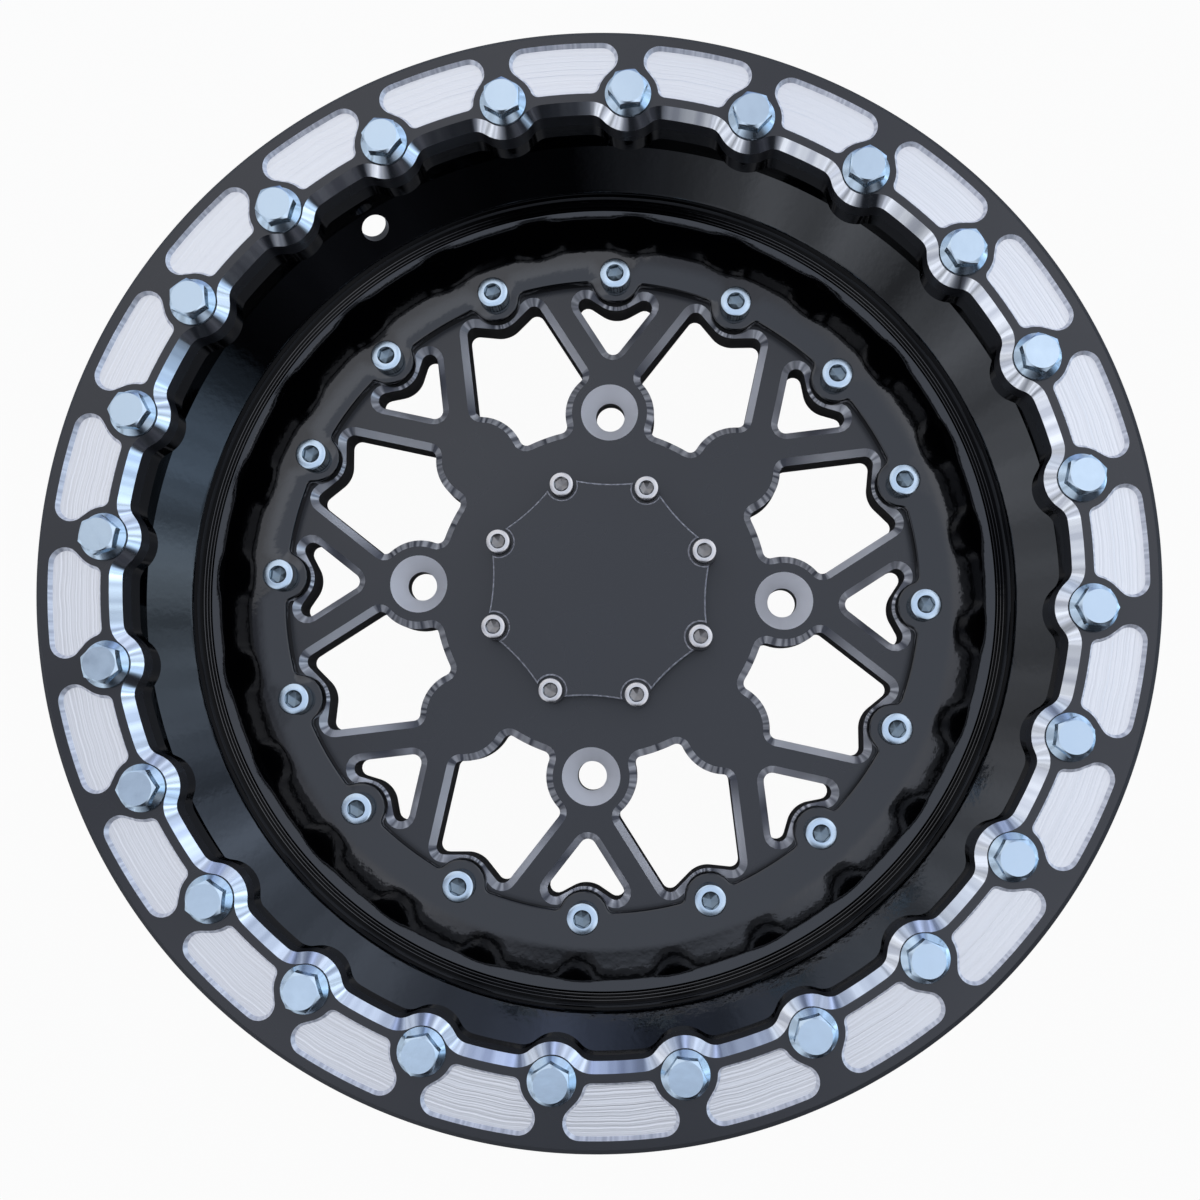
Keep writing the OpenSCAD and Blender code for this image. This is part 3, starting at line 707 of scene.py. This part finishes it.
tyre_slope = line(tyre_slope_low[-1], (tyre_block_r[1], cone_z(tyre_block_r[1], 1)), block)
rear_part = join_up(
    arc((drop_r - 3, plate_t - 3), 3, 90, 0, 6),
    line((drop_r, plate_t - 3), (drop_r, drop_end_z), 4),
    line((drop_r, drop_end_z), (rear_in_r, rear_cone_z(rear_in_r, 0)), 4),
    line((rear_in_r, rear_cone_z(rear_in_r, 0)), (rear_in_r, rear_z + 8), 4),
    arc((rear_in_r + 8, rear_z + 8), 8, 180, 270, 10),
    arc((lip_r - 2, rear_z + 2), 2, -90, 0, 5),
    arc((lip_r - 2, rear_bead_z - 2), 2, 0, 90, 5),
    arc((bead_r + 3.5, rear_bead_z + 3.5), 3.5, 270, 180, 5),
    np.array((
        (bead_r, rear_bead_z + 3.5),
        (bead_r - 1.5, hump_z),
        (bead_r + 1, hump_z + hump_rise),
        (bead_r + 1, hump_z + hump_rise + hump_w),
        (rear_out_r, hump_z + 2 * hump_rise + hump_w),
        (rear_out_r, rear_cone_z(rear_out_r, 1)),
        (drop_out_r, rear_cone_z(drop_out_r, 1)),
    )),
    line((drop_out_r, rear_cone_z(drop_out_r, 1)), tyre_slope_low[0], 2),
    tyre_slope_low,
)
front_part = join_up(
    line(tyre_slope[-1], (bead_out_r, cone_z(bead_out_r, 1)), 1),
    np.array((
        (bead_out_r, cone_z(bead_out_r, 1)),
        (bead_out_r, clamp_z - clamp_t - 3),
        (bead_out_r + 3, clamp_z - clamp_t),
        (clamp_r - 1, clamp_z - clamp_t),
        (clamp_r, clamp_z - clamp_t + 1),
        (clamp_r, clamp_z - 1),
        (clamp_r - 1, clamp_z),
        (seat_out_r, clamp_z),
        (seat_out_r, seat_z - seat_edge),
        (seat_out_r - seat_edge, seat_z),
    )),
)
tyre_profile = join_up(rear_part, tyre_slope, front_part)
print("profile points:", len(street_profile), len(tyre_profile))

# %% Turn a profile, and leave out a block of it
block_first = round((valve_turn - block * cell / 2) / cell)


def spun(profile, skip_from):
    """The profile turned round the axis, less a block of cells round the valve hole."""
    rings = [at(circle(r, round_steps), z) for r, z in profile]
    patch = wall(gloss, *rings)
    k, i = np.divmod(np.arange(len(patch.faces)), round_steps)
    hidden = (k >= skip_from) & (k < skip_from + block)
    hidden &= (i >= block_first) & (i < block_first + block)
    return patch._replace(faces=patch.faces[~hidden], map=patch.map[~hidden])


def on_cone(radius, angle, side):
    """Points of the sloping wall at those radii and angles."""
    return np.column_stack((polar(radius, angle), cone_z(radius, side)))


def hole_loop(side, start, steps):
    """Where the round hole, square to the wall, meets one side of it.

    (a, b) goes round the hole's circle: b = r sin(angle), and a is the rest along the slope."""
    centre_r = valve_at_r + side * slope_shift / 2
    way = start + np.arange(steps) * 2 * math.pi / steps
    a, b = valve_r * np.cos(way), valve_r * np.sin(way)
    radius = centre_r + a / math.sqrt(2)
    for _ in range(4):
        lean = np.arcsin(b / radius)
        radius = (2 * centre_r + math.sqrt(2) * a) / (1 + np.cos(lean))
    return radius, valve_turn + np.degrees(lean)


def valve_patch(slope, side):
    """Rings of points from the left-out block to the valve hole, all on the cone."""
    radii = slope[:, 0]
    angles = (block_first + np.arange(block + 1)) * cell
    edge_r = np.concatenate((radii[:-1], np.full(block, radii[-1]), radii[:0:-1], np.full(block, radii[0])))
    edge_a = np.concatenate((
        np.full(block, angles[-1]), angles[:0:-1], np.full(block, angles[0]), angles[:-1]
    ))
    centre_r = valve_at_r + side * slope_shift / 2
    way = np.arctan2((edge_a[0] - valve_turn) * math.radians(centre_r), (edge_r[0] - centre_r) * math.sqrt(2))
    hole_r, hole_a = hole_loop(side, way, 4 * block)
    hole_r, hole_a = np.roll(hole_r[::-1], 1), np.roll(hole_a[::-1], 1)
    share = np.linspace(0, 1, 5)[:, None]
    rings = [on_cone(edge_r + (hole_r - edge_r) * s, edge_a + (hole_a - edge_a) * s, side) for s in share]
    return wall(gloss, *rings), rings[-1]


print("cells left out for the valve hole, from number:", block_first)

# %% Build the rim
street_valve, street_hole = valve_patch(street_slope, 0)
tyre_valve, tyre_hole = valve_patch(tyre_slope, 1)
flange_holes = drilled(plain_hole_r, 24, screw_circle_r, screw_count)
thread_holes = drilled(thread_hole_r, 24, bolt_circle_r, bolt_count, bolt_turn)
flange_back, flange_face = circle(drop_r - 3, round_steps), circle(dish_from_r, round_steps)
seat_back, seat_face = circle(seat_knee_r, round_steps), circle(seat_out_r - seat_edge, round_steps)
thread_end_z = seat_low + 1
lower_edge = [at(flange_edge(0), z) for z in (plate_t, flange_top - edge_round)]
upper_edge = [
    at(flange_edge(edge_round * (1 - math.cos(t))), flange_top - edge_round * (1 - math.sin(t)))
    for t in np.linspace(0, math.pi / 2, 5)[1:]
]
rim_patches = [
    spun(street_profile, len(foot) - 1),
    spun(tyre_profile, len(rear_part) - 1),
    street_valve,
    tyre_valve,
    wall(gloss, street_hole, tyre_hole),
    flat(gloss, flange_top, flange_face, [flange_edge(edge_round), *flange_holes]),
    flat(gloss, plate_t, flange_back, [flange_edge(0), *flange_holes]),
    wall(gloss, *lower_edge, *upper_edge),
    flat(gloss, seat_low, seat_back, [ring_edge(set_back)]),
    flat(gloss, seat_z, seat_face, [ring_edge(set_back), *thread_holes]),
    tube(gloss, ring_edge(set_back), seat_low, seat_z),
]
rim_patches += [tube(gloss, hole, plate_t, flange_top) for hole in flange_holes]
for hole in thread_holes:
    rim_patches += [
        tube(gloss, hole, thread_end_z, seat_z),
        flat(gloss, thread_end_z, hole),
    ]
place("rim_powder_coated", rim_patches, "barrel", sharp=28)

# %% [markdown]
# ## Bolts and screws
# A bolt is a stack of rings round its own axis. A hexagon is a ring whose radius changes with
# the angle, and a cone cuts its corners: where the radius is larger, the cone is lower. That
# gives the curved edges of a real bolt head. The socket screws have a knurled side, a hexagon
# with a bevelled mouth, and a drilled cone at its end, which keeps the socket dark. The socket
# also gets a darker copy of the head's metal, as painted shade.

# %% Rings round a bolt's axis
ring_steps = 72
around_bolt = np.linspace(0, 2 * math.pi, ring_steps, endpoint=False)


def ringed(radius, z):
    """A ring of points: radius and z are numbers, or one value for each angle."""
    radius, z = np.broadcast_to(radius, ring_steps), np.broadcast_to(z, ring_steps)
    return np.column_stack((radius * np.cos(around_bolt), radius * np.sin(around_bolt), z))


def stack(metal, *rings):
    """A wall through rings that are each given by radius and height."""
    return wall(metal, *(ringed(radius, z) for radius, z in rings))


def hexagon(across):
    """Radius of a hexagon at each angle: across / 2 divided by the cosine from its flat's middle."""
    from_flat = (around_bolt + math.pi / 6) % (math.pi / 3) - math.pi / 6
    return across / 2 / np.cos(from_flat + math.pi / 6 - math.pi / 3 * (from_flat > 0))


print("hexagon of 13 mm: radius", hexagon(13).min().round(2), "to", hexagon(13).max().round(2))


# %% One flange bolt, one socket screw
def flange_bolt(r, length, tip_r):
    """M8 flange bolt, 13 mm across, standing on z = 0. Two cones meet its six sides."""
    corner, crown_r, head_h, top_r = hexagon(13), 6.11, 8.0, 5.71
    flange_r, flange_h, flange_cone, head_cone = 8.95, 3.2, 0.878, 0.577
    foot_z = np.minimum(flange_h, 1.4 + (flange_r - corner) * flange_cone)
    return [
        flat("zinc_plate", -length, circle(tip_r, ring_steps)),
        stack(
            "zinc_plate", (tip_r, -length), (r, 0.8 - length), (r, -0.05), (r + 0.1, 0),
            (8.45, 0), (8.83, 0.15), (flange_r, 0.5), (flange_r, 1.1), (8.8, 1.45), (corner, foot_z),
            (corner, head_h - (corner - crown_r) * head_cone), (crown_r, head_h), (top_r, head_h),
        ),
        flat("zinc_plate", head_h, circle(top_r, ring_steps)),
    ]


def socket_screw(metal, r, length, head_r, head_h, across, depth):
    """Socket screw standing on z = 0, with a knurled head."""
    # The hexagon socket gets a darker copy of the head's metal: painted shade inside the socket.
    painted_shade_socket_metal = metal.split("_")[0] + "_socket"
    knurl_depth, point_r = 0.22, 0.3
    knurl = head_r - knurl_depth * (np.arange(ring_steps) % 2)
    mouth_r = across / math.sqrt(3) + 0.25
    socket_z = head_h - depth
    return [
        flat(metal, -length, circle(r - 0.8, ring_steps)),
        stack(
            metal, (r - 0.8, -length), (r, 0.8 - length), (r, 0), (head_r - 0.3, 0), (head_r, 0.3),
            (knurl, 0.5), (knurl, head_h - 1.3), (head_r, head_h - 1.1), (head_r, head_h - 0.6),
            (head_r - 0.18, head_h - 0.18), (head_r - 0.6, head_h), (mouth_r, head_h),
        ),
        stack(
            painted_shade_socket_metal, (mouth_r, head_h), (hexagon(across), head_h - 0.4),
            (hexagon(across), socket_z + 0.9), (point_r, socket_z),
        ),
        flat(painted_shade_socket_metal, socket_z, circle(point_r, ring_steps)),
    ]


ring_bolt = flange_bolt(r=4, length=25, tip_r=3.2)
plate_screw = socket_screw("zinc_plate", r=4, length=20, head_r=6.5, head_h=8, across=6, depth=4)
cap_screw = socket_screw("stainless_steel", r=3, length=20, head_r=5, head_h=6, across=5, depth=3)
print("faces of a ring bolt:", sum(len(p.faces) for p in ring_bolt))


# %% Put them on the wheel
def set_round(patches, own_step, count, circle_r, first, height):
    """Copies of one bolt round the wheel, each turned on by own_step degrees on its own axis."""
    placed = []
    for k, patch in ((k, patch) for k in range(count) for patch in patches):
        xy = turned(patch.points[:, :2], k * own_step) + (circle_r, 0)
        points = np.column_stack((turned(xy, first + k * 360 / count), patch.points[:, 2] + height))
        placed.append(patch._replace(points=points))
    return placed


bolts = set_round(ring_bolt, 67, bolt_count, bolt_circle_r, bolt_turn, front_z)
place("flange_bolts", bolts, "beadlock_bolts", sharp=18)
screws = set_round(plate_screw, 41, screw_count, screw_circle_r, 0, flange_top)
place("plate_socket_screws", screws, "centre_screws", sharp=24)
smalls = set_round(cap_screw, 53, cap_count, cap_circle_r, half_turn, cap_seat_z)
place("cap_socket_screws", smalls, "cap_screws", sharp=24)

# %% [markdown]
# ## Finishes
# Every finish is a small node tree. One helper adds a node, sets its inputs and links it, so a
# tree reads from top to bottom. Colours are written as the hex values that a picture editor
# shows, and turned to linear light once.

# %% Helpers for materials


def linear(hex_colour):
    """An sRGB hex colour as linear red, green, blue and alpha."""
    channels = [int(hex_colour[i : i + 2], 16) / 255 for i in (1, 3, 5)]
    return [c / 12.92 if c <= 0.04045 else ((c + 0.055) / 1.055) ** 2.4 for c in channels] + [1.0]


def node(tree, kind, settings=None, **inputs):
    """Add a shader node. A setting is a property, an input is a value or another node's output.

    An input goes by its name, or by i and its number where names repeat."""
    made = tree.nodes.new("ShaderNode" + kind)
    for key, value in (settings or {}).items():
        setattr(made, key, value)
    for key, value in inputs.items():
        by_number = key[0] == "i" and key[1:].isdigit()
        socket = made.inputs[int(key[1:]) if by_number else key.replace("_", " ")]
        if isinstance(value, bpy.types.NodeSocket):
            tree.links.new(value, socket)
        else:
            socket.default_value = value
    return made


def new_finish(name, colour, roughness, metallic=0.0, **more):
    """A material with one Principled shader. Returns its tree and the shader."""
    material = bpy.data.materials.get(name) or bpy.data.materials.new(name)
    material.use_nodes = True
    tree = material.node_tree
    tree.nodes.clear()
    look = {"Base_Color": linear(colour), "Roughness": roughness, "Metallic": metallic, **more}
    shader = node(tree, "BsdfPrincipled", **look)
    node(tree, "OutputMaterial", Surface=shader.outputs[0])
    material.diffuse_color = linear(colour)
    print(f"{name}: {colour}, roughness {roughness}, metallic {metallic}")
    return tree, shader


def radius_of(tree, where):
    """Distance from the wheel's axis: the length of (x, y)."""
    flat_part = node(tree, "VectorMath", {"operation": "MULTIPLY"}, i0=where, i1=(1, 1, 0))
    return node(tree, "VectorMath", {"operation": "LENGTH"}, i0=flat_part.outputs[0]).outputs["Value"]


def per_mm(size):
    """Noise scale that gives features of about that many millimetres."""
    return 1 / (size * MM)


print("mid grey in linear light:", round(linear("#808080")[0], 3))

# %% Gloss black powder coat
# Powder that melted and flowed: a mirror with faint orange peel, which makes reflections waver.
# The lathe left fine rings at the foot of the slope, which show through the powder.
peel_depth, ring_depth, rings_at_r = 0.022 * MM, 0.04 * MM, 168.0
tree, shader = new_finish("gloss_powder", "#020203", 0.06, IOR=1.68)
where = node(tree, "TexCoord").outputs["Object"]
peel = node(tree, "TexNoise", Vector=where, Scale=per_mm(3.0), Detail=2.0)
radius = radius_of(tree, where)
rings = node(tree, "TexNoise", {"noise_dimensions": "1D"}, W=radius, Scale=per_mm(0.9), Detail=1.0)
away = node(tree, "Math", {"operation": "SUBTRACT"}, i0=radius, i1=rings_at_r * MM)
away = node(tree, "Math", {"operation": "ABSOLUTE"}, i0=away.outputs[0])
near = node(
    tree, "MapRange", {"interpolation_type": "SMOOTHSTEP"}, Value=away.outputs[0],
    From_Min=2 * MM, From_Max=5 * MM, To_Min=ring_depth, To_Max=0.0,
)
height = node(tree, "Math", {"operation": "MULTIPLY"}, i0=peel.outputs["Fac"], i1=peel_depth)
height = node(
    tree, "Math", {"operation": "MULTIPLY_ADD"},
    i0=rings.outputs["Fac"], i1=near.outputs["Result"], i2=height.outputs[0],
)
bump = node(tree, "Bump", Height=height.outputs[0], Strength=1.0, Distance=1.0)
tree.links.new(bump.outputs[0], shader.inputs["Normal"])

# %% Black anodised plate
# Milled plate, etched and dyed: a soft grey sheen over black, with a hint of the cutter's passes.
# The walls' colour is warmer and lighter than the faces' colour: a painted reflection of the ground on the
# walls.
for name, colour, roughness in (("anodised_satin", "#1b1c20", 0.28), ("anodised_wall", "#34312f", 0.4)):
    tree, shader = new_finish(name, colour, roughness, IOR=1.63)
    where = node(tree, "TexCoord").outputs["Object"]
    grain = node(tree, "TexNoise", Vector=where, Scale=per_mm(0.8), Detail=3.0)
    cloud = node(tree, "TexNoise", Vector=where, Scale=per_mm(30.0), Detail=2.0)
    dull, duller = roughness - 0.05, roughness + 0.06
    spread = node(tree, "MapRange", Value=cloud.outputs["Fac"], To_Min=dull, To_Max=duller)
    tree.links.new(spread.outputs["Result"], shader.inputs["Roughness"])
    fine = node(tree, "Bump", Height=grain.outputs["Fac"], Strength=0.05, Distance=0.1 * MM)
    tree.links.new(fine.outputs[0], shader.inputs["Normal"])

# %% Bare aluminium of the chamfers
# A carbide cutter leaves it nearly mirror bright. On the curves each of its short steps is a
# small facet, and the straight runs are one long facet. Noise gives each facet a colour between
# a dark and a light tone: painted reflections that change from facet to facet. On the milled
# edge, which is smooth, the same noise runs along its length as painted streaks of reflection.
for name, dark, light, roughness, metallic in (
    ("bright_chamfer", "#d6d7dc", "#ffffff", 0.14, 1.0),
    ("window_chamfer", "#7c7e86", "#fafafc", 0.22, 0.5),
    ("cap_edge", "#b4b6be", "#f0f0f6", 0.3, 0.5),
    ("milled_edge", "#c8cad2", "#eeeff4", 0.36, 0.8),
):
    tree, shader = new_finish(name, light, roughness, metallic=metallic)
    steps = node(tree, "UVMap", {"uv_map": "surface"})
    number = node(tree, "SeparateXYZ", Vector=steps.outputs[0]).outputs["X"]
    # Noise over the facet number picks each facet's colour between dark and light: painted reflections.
    tone = node(tree, "TexNoise", {"noise_dimensions": "1D"}, W=number, Scale=per_mm(1.9), Detail=1.0)
    share = node(tree, "MapRange", Value=tone.outputs["Fac"], From_Min=0.32, From_Max=0.68)
    painted_reflection_tones = {"i6": linear(dark), "i7": linear(light)}
    colour = node(tree, "Mix", {"data_type": "RGBA"}, i0=share.outputs[0], **painted_reflection_tones)
    tree.links.new(colour.outputs[2], shader.inputs["Base Color"])

# %% Bare aluminium of the pocket floors
# The end mill went round in the wheel's own circles: fine bands, a little dull, nearly white.
tree, shader = new_finish("milled_floor", "#f1f0ee", 0.42, metallic=0.85)
where = node(tree, "TexCoord").outputs["Object"]
radius = radius_of(tree, where)
drift = node(tree, "TexNoise", Vector=where, Scale=per_mm(14.0), Detail=1.0).outputs["Fac"]
bend = node(tree, "Math", {"operation": "MULTIPLY_ADD"}, i0=drift, i1=1.5 * MM, i2=radius).outputs[0]
passes = node(tree, "TexNoise", {"noise_dimensions": "1D"}, W=bend, Scale=per_mm(1.1), Detail=2.0)
swirl = node(tree, "Bump", Height=passes.outputs["Fac"], Strength=0.8, Distance=0.3 * MM)
tree.links.new(swirl.outputs[0], shader.inputs["Normal"])
tone = node(tree, "MapRange", Value=passes.outputs["Fac"], To_Min=0.3, To_Max=0.55)
tree.links.new(tone.outputs["Result"], shader.inputs["Roughness"])

# %% Lug seats
# Countersunk after anodising: bare and matt, a soft light grey, with rings from the countersink.
tree, shader = new_finish("lug_seat", "#f0f0f2", 0.42, metallic=0.3)
where = node(tree, "TexCoord").outputs["Object"]
seat_noise = node(tree, "TexNoise", Vector=where, Scale=per_mm(2.0), Detail=2.0)
seat_bump = node(tree, "Bump", Height=seat_noise.outputs["Fac"], Strength=0.1, Distance=0.2 * MM)
tree.links.new(seat_bump.outputs[0], shader.inputs["Normal"])

# %% Bolts and screws
# Clear-passivated zinc is a cool, slightly cloudy mirror. Stainless steel is warmer and duller.
# The two socket finishes are darker copies of these metals: painted shade inside the hexagon sockets.
for name, colour, roughness, cloudy in (
    ("zinc_plate", "#c9dae6", 0.2, 5.0),
    ("zinc_socket", "#7f8e98", 0.3, 3.0),
    ("stainless_steel", "#d8d5d2", 0.25, 4.0),
    ("stainless_socket", "#8c8a88", 0.3, 3.0),
):
    tree, shader = new_finish(name, colour, roughness, metallic=1.0)
    where = node(tree, "TexCoord").outputs["Object"]
    cloud = node(tree, "TexNoise", Vector=where, Scale=per_mm(cloudy), Detail=3.0).outputs["Fac"]
    spread = node(tree, "MapRange", Value=cloud, To_Min=roughness - 0.07, To_Max=roughness + 0.12)
    tree.links.new(spread.outputs["Result"], shader.inputs["Roughness"])
    dents = node(tree, "Bump", Height=cloud, Strength=0.12, Distance=0.3 * MM)
    tree.links.new(dents.outputs[0], shader.inputs["Normal"])

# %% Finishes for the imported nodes
for part, finish in (
    ("barrel", "gloss_powder"),
    ("beadlock_ring", "anodised_satin"),
    ("centre_plate", "anodised_satin"),
    ("centre_cap", "anodised_satin"),
    ("beadlock_bolts", "zinc_plate"),
    ("centre_screws", "zinc_plate"),
    ("cap_screws", "stainless_steel"),
):
    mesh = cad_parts[part].data
    mesh.materials.clear()
    mesh.materials.append(bpy.data.materials[finish])
    print("packed node", part, "gets", finish)

# %% [markdown]
# ## Floor, world and light
# Black and bright metal are mostly mirrors, so what stands round them makes the picture. The
# surround is a pale dome with a dark stretch towards -Y and a bright one towards +X, so that
# facets which face different ways look different. Only the camera itself sees plain white.

# %% The floor
floor_mesh = bpy.data.meshes.new("floor")
half_floor = 3.0
corners = half_floor * np.array(((-1, -1), (1, -1), (1, 1), (-1, 1)))
floor_mesh.from_pydata(at(corners, rear_z * MM).tolist(), [], [(0, 1, 2, 3)])
floor = bpy.data.objects.new("floor", floor_mesh)
bpy.context.scene.collection.objects.link(floor)
floor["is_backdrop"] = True
material = bpy.data.materials.new("pale_floor")
material.use_nodes = True
tree = material.node_tree
tree.nodes.clear()
path = node(tree, "LightPath")
share = node(tree, "Math", {"operation": "MULTIPLY"}, i0=path.outputs["Is Camera Ray"], i1=0.96)
paint = node(tree, "BsdfDiffuse", Color=linear("#9c9c9c"))
glow = node(tree, "Emission", Color=(1, 1, 1, 1), Strength=1.0)
mix = node(tree, "MixShader", i0=share.outputs[0], i1=paint.outputs[0], i2=glow.outputs[0])
node(tree, "OutputMaterial", Surface=mix.outputs[0])
floor_mesh.materials.append(material)
print("floor under the rim's rear lip, at z =", round(rear_z, 1), "mm")

# %% The world
world = bpy.data.worlds.new("surround")
bpy.context.scene.world = world
world.use_nodes = True
tree = world.node_tree
tree.nodes.clear()
way = node(tree, "TexCoord").outputs["Generated"]
split = node(tree, "SeparateXYZ", Vector=way).outputs
compass = node(tree, "Math", {"operation": "ARCTAN2"}, i0=split["Y"], i1=split["X"]).outputs[0]
one_turn = {"i1": 0.5 / math.pi, "i2": 0.5}
compass = node(tree, "Math", {"operation": "MULTIPLY_ADD"}, i0=compass, **one_turn).outputs[0]


def panorama(stops):
    """Colour by compass direction. Each stop is a direction in degrees and a hex colour."""
    ramp = node(tree, "ValToRGB", i0=compass)
    elements = ramp.color_ramp.elements
    while len(elements) < len(stops):
        elements.new(0.5)
    for element, (direction, colour) in zip(elements, stops):
        element.position = direction / 360 + 0.5
        element.color = linear(colour)
    return ramp.outputs[0]


def blend(low, high, start, end):
    """One part of the sky below the height start, another above the height end."""
    smooth = {"interpolation_type": "SMOOTHSTEP"}
    share = node(tree, "MapRange", smooth, Value=split["Z"], From_Min=start, From_Max=end)
    return node(tree, "Mix", {"data_type": "RGBA"}, i0=share.outputs[0], i6=low, i7=high).outputs[2]


low_sky = panorama((
    (-180, "#969ba4"), (-116, "#a4a9b2"), (-98, "#50545c"), (-86, "#0c0e12"), (-70, "#14161a"),
    (-50, "#26282e"), (-28, "#121418"), (-8, "#b4d0f0"), (8, "#d0e6fc"), (34, "#b0c2dc"),
    (68, "#a2aec2"), (88, "#7884a0"), (104, "#68748e"), (128, "#8c95a3"), (158, "#989ca4"), (180, "#969ba4"),
))
middle_sky = panorama((
    (-180, "#686c78"), (-158, "#a0a4b0"), (-136, "#c4c8d2"), (-118, "#9498a4"), (-106, "#14161a"),
    (-74, "#14161a"), (-60, "#9ca0ac"), (-46, "#d2d6e0"), (0, "#b0b4c0"), (44, "#d2d6e0"),
    (84, "#9498a4"), (134, "#7c808c"), (180, "#686c78"),
))
high_sky = linear("#aab2c2")

# Posts and trees near the horizon: they give the bright chamfers their streaks.
squashed = node(tree, "Mapping", Vector=way, Scale=(1, 1, 0.2)).outputs[0]
posts = node(tree, "TexNoise", Vector=squashed, Scale=5.0, Detail=3.0).outputs["Fac"]
level = node(tree, "MapRange", Value=posts, From_Min=0.3, From_Max=0.7, To_Min=0.35, To_Max=1.65)
streaked = node(tree, "VectorMath", {"operation": "SCALE"}, i0=low_sky, Scale=level.outputs[0])
sky = blend(blend(streaked.outputs[0], middle_sky, 0.4, 0.8), high_sky, 0.94, 0.975)
path = node(tree, "LightPath")
dome = node(tree, "Background", Color=sky, Strength=1.95)
plain = node(tree, "Background", Color=(1, 1, 1, 1), Strength=1.0)
mix = node(tree, "MixShader", i0=path.outputs["Is Camera Ray"], i1=dome.outputs[0], i2=plain.outputs[0])
node(tree, "OutputWorld", Surface=mix.outputs[0])
print("nodes in the surround:", len(tree.nodes))

# %% A soft lamp
lamp_data = bpy.data.lights.new("soft_lamp", "AREA")
lamp_data.shape = "DISK"
lamp_data.size = 2.0
lamp_data.energy = 5
lamp = bpy.data.objects.new("soft_lamp", lamp_data)
lamp.location = (-0.9, 1.0, 1.7)
lamp.rotation_euler = (Vector((0, 0, 0)) - lamp.location).to_track_quat("-Z", "Y").to_euler()
bpy.context.scene.collection.objects.link(lamp)
bpy.context.scene.view_settings.view_transform = "Standard"
print("lamp of", lamp_data.energy, "W, size", lamp_data.size, "m")

# %% Measure and finish
low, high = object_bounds()
print("visual box in metres:", tuple(round(v, 4) for v in (*low, *high)))
